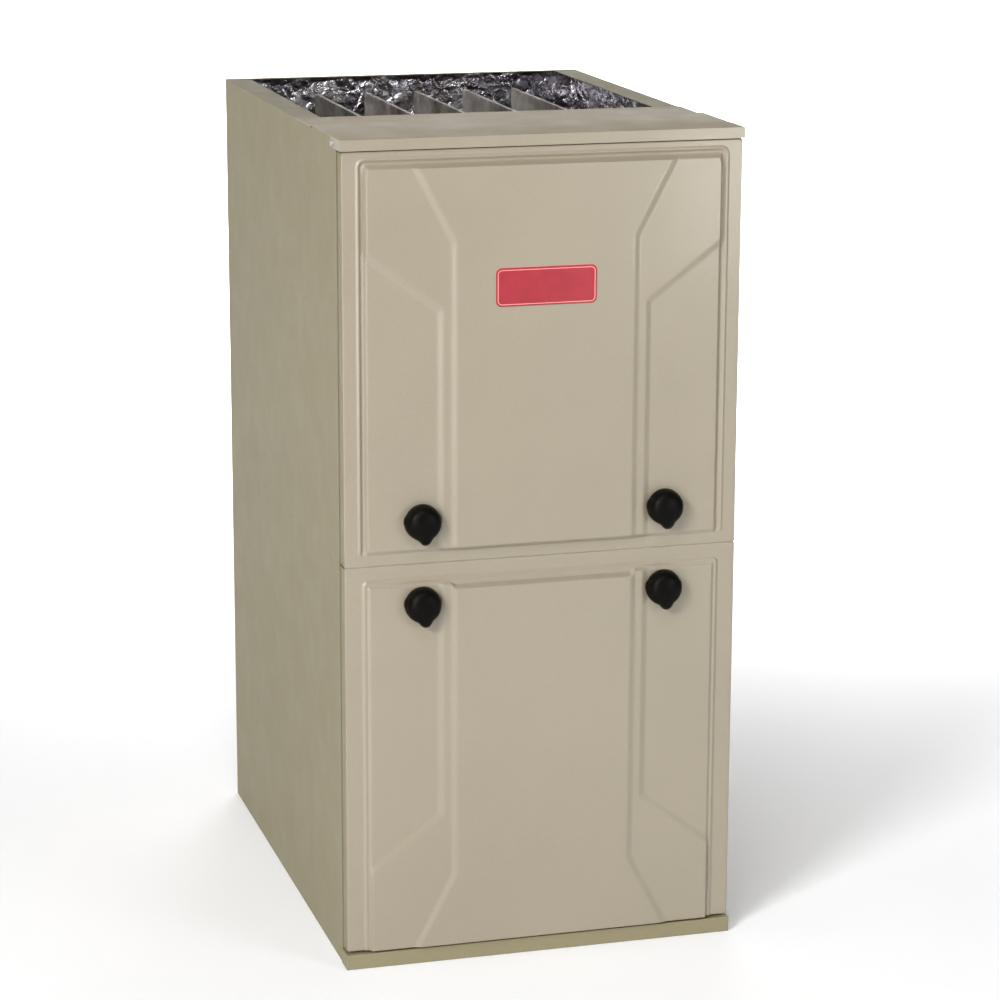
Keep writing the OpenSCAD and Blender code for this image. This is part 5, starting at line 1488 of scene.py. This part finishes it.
class FURNACE_OT_controls(bpy.types.Operator):
    """Finishes the control tray and fits the parts on its board"""
    bl_idname = "furnace.controls"
    bl_label = "Controls"

    def execute(self, context):
        dressed("control_box", "galvanised", 0.0003)
        dressed("junction_box", "galvanised", 0.0004)
        b_low, b_high = corners("control_board")
        face = b_high[1] - BOARD_STAND_OFF - BOARD_THICKNESS
        left, low, high, right = b_low[0], b_low[2], b_high[2], b_high[0]

        def part(c):
            if c.y > face - 0.0001:
                return 0 if c.y < face + 0.0018 else 5
            if c.z > high - 0.031:
                return 1 if c.x < left + 0.1015 else 2
            return 4 if c.x > right - 0.023 else 3

        painted_parts("control_board", ["board green", "switch black", "relay blue", "relay white",
                                        "red plastic", "zinc"], part, 0.0003)
        dressed("terminal_block", "terminal green", 0.0003)
        t_low, t_high = corners("transformer")
        coil = t_low[1] + 0.0081
        painted_parts("transformer", ["transformer iron", "copper", "zinc"],
                      lambda c: 1 if c.y < coil - 0.0001 else 2 if c.y > t_high[1] - 0.0081 else 0, 0.0004)
        dressed("door_switch", "nylon", 0.0006, 3)
        dressed("door_switch_plunger", "switch black", 0.0005, 3)

        bm = bmesh.new()
        for k in range(4):
            x = left + 0.0142 + k * 0.022
            add_box(bm, (x + 0.0020, face - 0.0172, high - 0.0275),
                    (x + 0.0134, face - 0.0166, high - 0.0125), 0)
        for x, z, radius, tall in ((0.066, 0.0360, 0.0050, 0.0120), (0.122, 0.0360, 0.0062, 0.0130),
                                   (0.128, 0.0760, 0.0042, 0.0100), (0.136, 0.0620, 0.0034, 0.0080)):
            add_turned(bm, [(0.0, radius), (tall * 0.06, radius * 1.02), (tall * 0.12, radius * 0.94),
                            (tall * 0.18, radius), (tall * 0.95, radius), (tall, radius * 0.90)],
                       (left + x, face, low + z), FRONT, 24, 1)
            add_turned(bm, [(0.0, radius * 0.82), (0.0003, radius * 0.82)],
                       (left + x, face - tall, low + z), FRONT, 24, 2)
        for k in range(9):
            x = left + 0.022 + (k % 5) * 0.0115
            z = low + 0.0490 + (k // 5) * 0.0055
            add_turned(bm, [(-0.0034, 0.0009), (-0.0030, 0.0012), (-0.0022, 0.0010), (0.0022, 0.0010),
                            (0.0030, 0.0012), (0.0034, 0.0009)], (x, face - 0.0014, z), RIGHT, 10, 3)
            for end in (-1, 1):
                add_tube(bm, [(x + end * 0.0033, face - 0.0014, z), (x + end * 0.0044, face - 0.0013, z),
                              (x + end * 0.0047, face - 0.0008, z), (x + end * 0.0047, face, z)],
                         0.0003, 6, 2)
        for x, z, w, h in ((0.078, 0.0500, 0.0110, 0.0075), (0.096, 0.0500, 0.0060, 0.0060)):
            add_box(bm, (left + x, face - 0.0022, low + z), (left + x + w, face - 0.0004, low + z + h), 0)
            for k in range(int(w / 0.0013)):
                for end in (0, 1):
                    pz = low + z + h * end
                    add_box(bm, (left + x + 0.0006 + k * 0.0013, face - 0.0010, pz - 0.0009),
                            (left + x + 0.0011 + k * 0.0013, face, pz + 0.0009), 2)
        add_turned(bm, [(0.0, 0.0016), (0.0030, 0.0016), (0.0040, 0.0011), (0.0044, 0.0004)],
                   (left + 0.1245, face, low + 0.0530), FRONT, 16, 4)
        for x in (0.112, 0.120):
            add_box(bm, (left + x, face - 0.0070, low + 0.0120), (left + x + 0.0030, face, low + 0.0250), 5)
        face_out(bm)
        rounded(placed("board_parts", bm, ["switch black", "cap sleeve", "zinc", "ceramic", "red plastic",
                                           "fuse violet"], "casing"), 0.0002)

        pins = [((left + 0.0140 + k * 0.0046, face - 0.0103, low + 0.0390), FRONT, 0.0) for k in range(10)]
        pins += [((left + 0.0780 + k * 0.0042, face - 0.0103, low + z), FRONT, 0.0)
                 for k in range(8) for z in (0.0338, 0.0382)]
        TREES["pins"] = connector_tree()
        grown("board_pins", pins, TREES["pins"], {}, "casing")

        x, y, z = corners("terminal_block")[0]
        places = [((x + 0.008 + k * 0.0112, y + 0.0032, z + 0.007), FRONT) for k in range(6)]
        screws("terminal_screws", places, "casing", "board_green", head=0.0022, flange=0.0029, height=0.0014)
        tray_low, tray_high = corners("control_box")
        places = [((x, b_low[1] + 0.0164, z), FRONT) for x in (left + 0.008, right - 0.008)
                  for z in (low + 0.008, high - 0.008)]
        places += [((x, tray_high[1] - 0.0012, z), FRONT) for x in (tray_low[0] + 0.006, -0.010, 0.045)
                   for z in (tray_low[2] + 0.010, tray_high[2] - 0.010)]
        j_low, j_high = corners("junction_box")
        places += [((j_low[0], y, z), LEFT) for y in (j_low[1] + 0.009, j_high[1] - 0.009)
                   for z in (j_low[2] + 0.009, j_high[2] - 0.009)]
        places += [((x, t_high[1] - 0.0015, z), FRONT) for x in (t_low[0] + 0.006, t_high[0] - 0.006)
                   for z in (t_low[2] + 0.0035, t_high[2] - 0.0035)]
        screws("control_screws", places, "casing", "bare_panel", head=0.0024, flange=0.0032, height=0.0018)
        return {"FINISHED"}


def blade_tree():
    """One forward-curved fan blade standing off the axis."""
    t = Tree("fan_blades", {"Length": 0.213, "Chord": 0.0155, "Bulge": 0.0030, "Reach": 0.1182,
                            "Lean": math.radians(24)})
    sheet = t.add("GeometryNodeMeshGrid", {"Size X": t.size("Chord"), "Size Y": t.size("Length"),
                                           "Vertices X": 7, "Vertices Y": 2}).outputs["Mesh"]
    place = t.add("GeometryNodeInputPosition").outputs[0]
    share = t.maths("DIVIDE", t.add("ShaderNodeSeparateXYZ", {0: place}).outputs["X"], t.size("Chord"))
    bow = t.maths("MULTIPLY", t.maths("SUBTRACT", 0.25, t.maths("MULTIPLY", share, share)),
                  t.maths("MULTIPLY", t.size("Bulge"), 4.0))
    bent = t.add("GeometryNodeSetPosition", {"Geometry": sheet, "Offset": t.up(bow)}).outputs[0]
    thick = t.add("GeometryNodeExtrudeMesh", {"Mesh": bent, "Offset Scale": 0.0007,
                                              "Individual": False}).outputs[0]
    back = t.add("GeometryNodeFlipFaces", {"Mesh": bent}).outputs[0]
    solid = t.joined(thick, back)
    upright = t.moved(solid, turn=(math.radians(90), 0.0, 0.0))
    leaning = t.moved(upright, turn=t.up(t.size("Lean")))
    across = t.add("ShaderNodeCombineXYZ", {"X": t.size("Reach")}).outputs[0]
    return t.close(t.moved(leaning, across), finish("wheel steel"))


class FURNACE_OT_blower(bpy.types.Operator):
    """Finishes the blower housing and motor and builds the wheel with its curved blades"""
    bl_idname = "furnace.blower"
    bl_label = "Blower"

    def execute(self, context):
        dressed("blower_housing", "galvanised", 0.0004, 2, 24.0)
        dressed("blower_shaft", "zinc", 0.0005)
        m_low, m_high = corners("blower_motor")
        painted_parts("blower_motor", ["motor black", "die cast"],
                      lambda c: int(c.x < m_low[0] + 0.0099 or c.x > m_high[0] - 0.0099), 0.0008)
        dressed("motor_arms", "galvanised", 0.0005)

        low, high = corners("blower_wheel")
        _, cy, cz = centre_of("blower_wheel")
        radius = (high[2] - low[2]) / 2
        bm = bmesh.new()
        for side in (-1, 1):
            loop = [(0.0, 0.0006), (0.0, 0.0150), (-0.0012, 0.0156), (-0.0040, 0.0150), (-0.0040, 0.0140),
                    (-0.0012, 0.0140), (-0.0012, 0.0020), (-0.0060, 0.0012), (-0.0060, 0.0), (-0.0008, 0.0)]
            add_lathe(bm, [(side * along, radius - inset) for along, inset in loop],
                      (side * high[0], cy, cz), RIGHT, 96)
        disc = corners("blower_shaft")[1][0] - 0.022
        rim = radius - 0.0005
        add_lathe(bm, [(0.0, 0.0155), (0.0, 0.060), (-0.004, 0.070), (-0.004, 0.100), (0.0, 0.108), (0.0, rim),
                       (0.0014, rim), (0.0014, 0.1086), (-0.0026, 0.0996), (-0.0026, 0.0704),
                       (0.0014, 0.0604), (0.0014, 0.0155)], (disc, cy, cz), RIGHT, 96)
        add_lathe(bm, [(-0.016, 0.0065), (-0.016, 0.0150), (-0.015, 0.0160), (0.017, 0.0160),
                       (0.018, 0.0150), (0.018, 0.0065)], (disc, cy, cz), RIGHT, 40)
        face_out(bm)
        placed("blower_wheel_rings", bm, ["wheel steel"], "blower_rotor", ("blower_wheel",))
        TREES["blades"] = blade_tree()
        turns = [2 * math.pi * k / BLADE_COUNT for k in range(BLADE_COUNT)]
        grown("blower_blades", [((0.0, cy, cz), RIGHT, turn) for turn in turns],
              TREES["blades"], {}, "blower_rotor")
        screws("wheel_set_screw", [((disc + 0.010, cy, cz + 0.0158), UP)], "blower_rotor", "wheel_steel",
               head=0.0030, flange=0.0032)

        h_low, h_high = corners("blower_housing")
        places = [((x, y, h_high[2] - 0.0012), DOWN) for x in (h_low[0] + 0.007, h_high[0] - 0.007)
                  for y in (0.025, 0.115, 0.205, 0.262)]
        for x, reach, angles in ((corners("motor_arms")[1][0] - 0.0020, 0.156, (30, 150, 270)),
                                 (m_low[0] + 0.0062, 0.0560, (45, 135, 225, 315))):
            for t in map(math.radians, angles):
                places.append(((x, cy + reach * math.cos(t), cz + reach * math.sin(t)), LEFT))
        screws("blower_screws", places, "casing", "bare_panel", head=0.0038, flange=0.0056, height=0.0032)

        runs = []
        for k, key in enumerate(("wire blue", "wire red", "wire black", "wire white")):
            x, shift = m_low[0], 0.0026 * k
            runs.append((key, [
                (x + 0.004, cy - 0.030 - shift, cz + 0.040), (x - 0.010, cy - 0.040 - shift, cz + 0.050),
                (x - 0.024, cy - 0.110 - shift, cz + 0.070), (x - 0.030, -0.150 - shift, cz + 0.085),
                (-0.170 + shift, -0.195, cz + 0.110), (-0.160 + shift, -0.2120, cz + 0.118),
                (-0.158 + shift, -0.2155, cz + 0.122)]))
        wires("blower_leads", runs)
        return {"FINISHED"}


class FURNACE_OT_wiring(bpy.types.Operator):
    """Sleeves the harness and adds the single leads to the switches, the valve and the igniter"""
    bl_idname = "furnace.wiring"
    bl_label = "Wiring"

    def execute(self, context):
        dressed("wiring_harness", "sleeve", 0.0002, 1, 60.0)

        def trunk(x, y, z):
            return Vector((-0.196, -0.196, 0.700)) + Vector((x, y, z))

        runs = []
        _, y, top = corners("igniter")[1]
        middle = centre_of("igniter")[0]
        for k in (0, 1):
            x, rise = middle + (2 * k - 1) * 0.005, 0.003 * k
            runs.append(("wire white", [
                (x, y - 0.007, top - 0.0004), (x, y - 0.007, top + 0.014), (x - 0.030, -0.160, 0.704 + rise),
                (-0.160, -0.176, 0.708 + rise), trunk(0, 0.004 * k, 0.010)]))
        _, y, top = corners("flame_sensor")[1]
        x = centre_of("flame_sensor")[0]
        runs.append(("wire yellow", [
            (x, y - 0.007, top - 0.0002), (x - 0.004, y - 0.010, top + 0.012), (x - 0.050, -0.158, 0.706),
            (-0.020, -0.166, 0.714), (-0.120, -0.170, 0.716), trunk(0, -0.002, 0.016)]))
        r_high = corners("rollout_switch")[1]
        l_low = corners("limit_switch")[0]
        l_x, _, l_z = centre_of("limit_switch")
        p_low, p_high = corners("pressure_switch")
        p_x, p_y = centre_of("pressure_switch")[0], p_high[1] - 0.040
        for k, side in enumerate((-1, 1)):
            x, rise = side * 0.0058, 0.003 * k
            runs.append(("wire red", [
                (x, r_high[1] - 0.004, r_high[2] - 0.0004), (x, r_high[1] - 0.002, r_high[2] + 0.010),
                (x - 0.030, -0.150, 0.700 + rise), (-0.120, -0.164, 0.722 + rise), trunk(0.002, rise, 0.024)]))
            x, z = l_x + side * 0.005, l_z
            runs.append(("wire blue", [
                (x, l_low[1] + 0.001, z), (x, l_low[1] - 0.012, z), (x - 0.030, -0.166, z + 0.006),
                (-0.060, -0.160, z + 0.004 + rise), (-0.150, -0.176, z - 0.004 + rise),
                trunk(0.001, rise, 0.046)]))
            x = p_x + side * 0.012
            runs.append(("wire yellow" if side < 0 else "wire black", [
                (x, p_y, p_low[2] + 0.014 + 0.0006), (x, p_y, p_low[2] + 0.004),
                (x * 0.5 - 0.105, p_y, p_low[2] - 0.012), (-0.211, -0.164, p_low[2] - 0.030)]))
        (left, front, _), (_, _, top) = corners("gas_valve")
        top -= 0.0125
        for k, key in enumerate(("wire red", "wire white", "wire blue")):
            x = centre_of("gas_valve")[0] + (k - 1) * 0.010
            runs.append((key, [
                (x, front + 0.034, top + 0.0135), (x, front + 0.035, top + 0.026),
                (left + 0.012 - 0.003 * k, front + 0.048, top + 0.030),
                (left - 0.003, front + 0.060, top - 0.004), (left - 0.005, front + 0.060, top - 0.060),
                (left + 0.010, front + 0.046, 0.588 - 0.003 * k), (left + 0.024, front + 0.030, 0.578)]))
        wires("single_leads", runs)

        (left, _, low), (_, rear, _) = corners("control_board")
        face = rear - BOARD_STAND_OFF - BOARD_THICKNESS - PLUG_HEIGHT
        runs = []
        keys = ("wire red", "wire white", "wire blue", "wire yellow", "wire black", "wire green")
        for k, key in enumerate(keys):
            x, rise = left + 0.0186 + 0.0092 * k * 0.9, 0.002 * k
            runs.append((key, [
                (x, face - 0.0002, low + 0.039), (x, face - 0.0080, low + 0.040),
                (x - 0.004, face - 0.0120, low + 0.050 + rise),
                (left - 0.004 + rise, face - 0.0110, low + 0.066 + rise)]))
        d_x, _, d_z = centre_of("door_switch")
        d_rear = corners("door_switch")[1][1]
        for k, side in enumerate((-1, 1)):
            x, y, z = d_x + side * 0.007, d_rear, d_z
            runs.append(("wire black", [
                (x, y - 0.001, z), (x, y + 0.010, z - 0.002), (x - 0.006, y + 0.016, z - 0.020),
                (x + 0.020 - 0.03 * k, y + 0.006, z - 0.036), (0.060 - 0.01 * k, -0.240, 0.420),
                (0.010 - 0.01 * k, -0.236, 0.412), (-0.030 - 0.002 * k, -0.2365, 0.404),
                (-0.044, -0.2365, 0.398)]))
        x, y, z = corners("transformer")[0]
        for k, key in enumerate(("wire blue", "wire red")):
            runs.append((key, [
                (x + 0.016 + 0.02 * k, y + 0.004, z + 0.043), (x + 0.012 + 0.02 * k, y - 0.006, z + 0.052),
                (0.030, -0.256, 0.392 + 0.004 * k), (-0.010, -0.244, 0.372),
                (-0.052, -0.2360, 0.366 + 0.004 * k)]))
        wires("board_leads", runs, 0.0010)

        bm = bmesh.new()
        for side in (-1, 1):
            add_spade(bm, (l_x + side * 0.005, l_low[1] + 0.007, l_z), FRONT)
            add_spade(bm, (d_x + side * 0.007, d_rear - 0.006, d_z), REAR)
        for tie in ((-0.211, -0.164, 0.905), (-0.205, -0.184, 0.620)):
            add_band(bm, -0.002, 0.002, 0.0058, 0.0072, tie, UP, 24)
        face_out(bm)
        placed("terminals_and_ties", bm, ["relay white"], "casing")
        return {"FINISHED"}


class FURNACE_OT_fixings(bpy.types.Operator):
    """Drives the screws of the inner panels, the shelf and the rails"""
    bl_idname = "furnace.fixings"
    bl_label = "Fixings"

    def execute(self, context):
        front = corners("collector_box")[1][1]
        high = corners("cell_panel")[1]
        places = [((side * (high[0] - 0.008), front, z), FRONT) for side in (-1, 1)
                  for z in (0.540, 0.640, 0.740, 0.840)]
        places += [((x, front, z), FRONT) for x in (-0.150, -0.090, 0.090, 0.150) for z in (0.690, 0.800)]
        places += [((x, front, high[2] - 0.020), FRONT) for x in (-0.100, 0.0, 0.100)]
        r_low, r_high = corners("centre_rail")
        deck = corners("blower_shelf")[1][2]
        places += [((x, front - 0.030, deck), UP) for x in (-0.120, -0.040, 0.040, 0.120)]
        places += [((side * (r_high[0] - 0.010), r_low[1] + 0.0012, z), FRONT)
                   for side in (-1, 1) for z in (0.500, 0.516)]
        screws("panel_screws", places, "casing", "bare_panel", head=0.0034, flange=0.0052)
        return {"FINISHED"}


# ---------------------------------------------------------------- panel and registration

STEPS = (FURNACE_OT_stage, FURNACE_OT_casing, FURNACE_OT_clinches, FURNACE_OT_doors, FURNACE_OT_knobs,
         FURNACE_OT_name_plate, FURNACE_OT_insulation, FURNACE_OT_heat_exchanger, FURNACE_OT_burners,
         FURNACE_OT_gas_valve, FURNACE_OT_inducer, FURNACE_OT_controls, FURNACE_OT_blower, FURNACE_OT_wiring,
         FURNACE_OT_fixings)


class FURNACE_PT_sidebar(bpy.types.Panel):
    """Lists the steps that dress the furnace and their settings"""
    bl_idname = "FURNACE_PT_sidebar"
    bl_label = "Furnace"
    bl_space_type = "VIEW_3D"
    bl_region_type = "UI"
    bl_category = "Furnace"

    def draw(self, context):
        for step in STEPS:
            self.layout.operator(step.bl_idname)
        for label, group in GROUPS.items():
            box = self.layout.box()
            box.label(text=label.split("_", 1)[1].replace("_", " ").title())
            for prop in group.__annotations__:
                box.prop(getattr(context.scene, label), prop)


def register():
    for group in GROUPS.values():
        bpy.utils.register_class(group)
    for label, group in GROUPS.items():
        setattr(bpy.types.Scene, label, PointerProperty(type=group))
    for step in STEPS:
        bpy.utils.register_class(step)
    bpy.utils.register_class(FURNACE_PT_sidebar)


def unregister():
    bpy.utils.unregister_class(FURNACE_PT_sidebar)
    for step in reversed(STEPS):
        bpy.utils.unregister_class(step)
    for label in GROUPS:
        delattr(bpy.types.Scene, label)
    for group in reversed(GROUPS.values()):
        bpy.utils.unregister_class(group)


def main():
    register()
    for step in STEPS:
        name = step.bl_idname.split(".")[1]
        getattr(bpy.ops.furnace, name)()


if __name__ == "__main__":
    main()
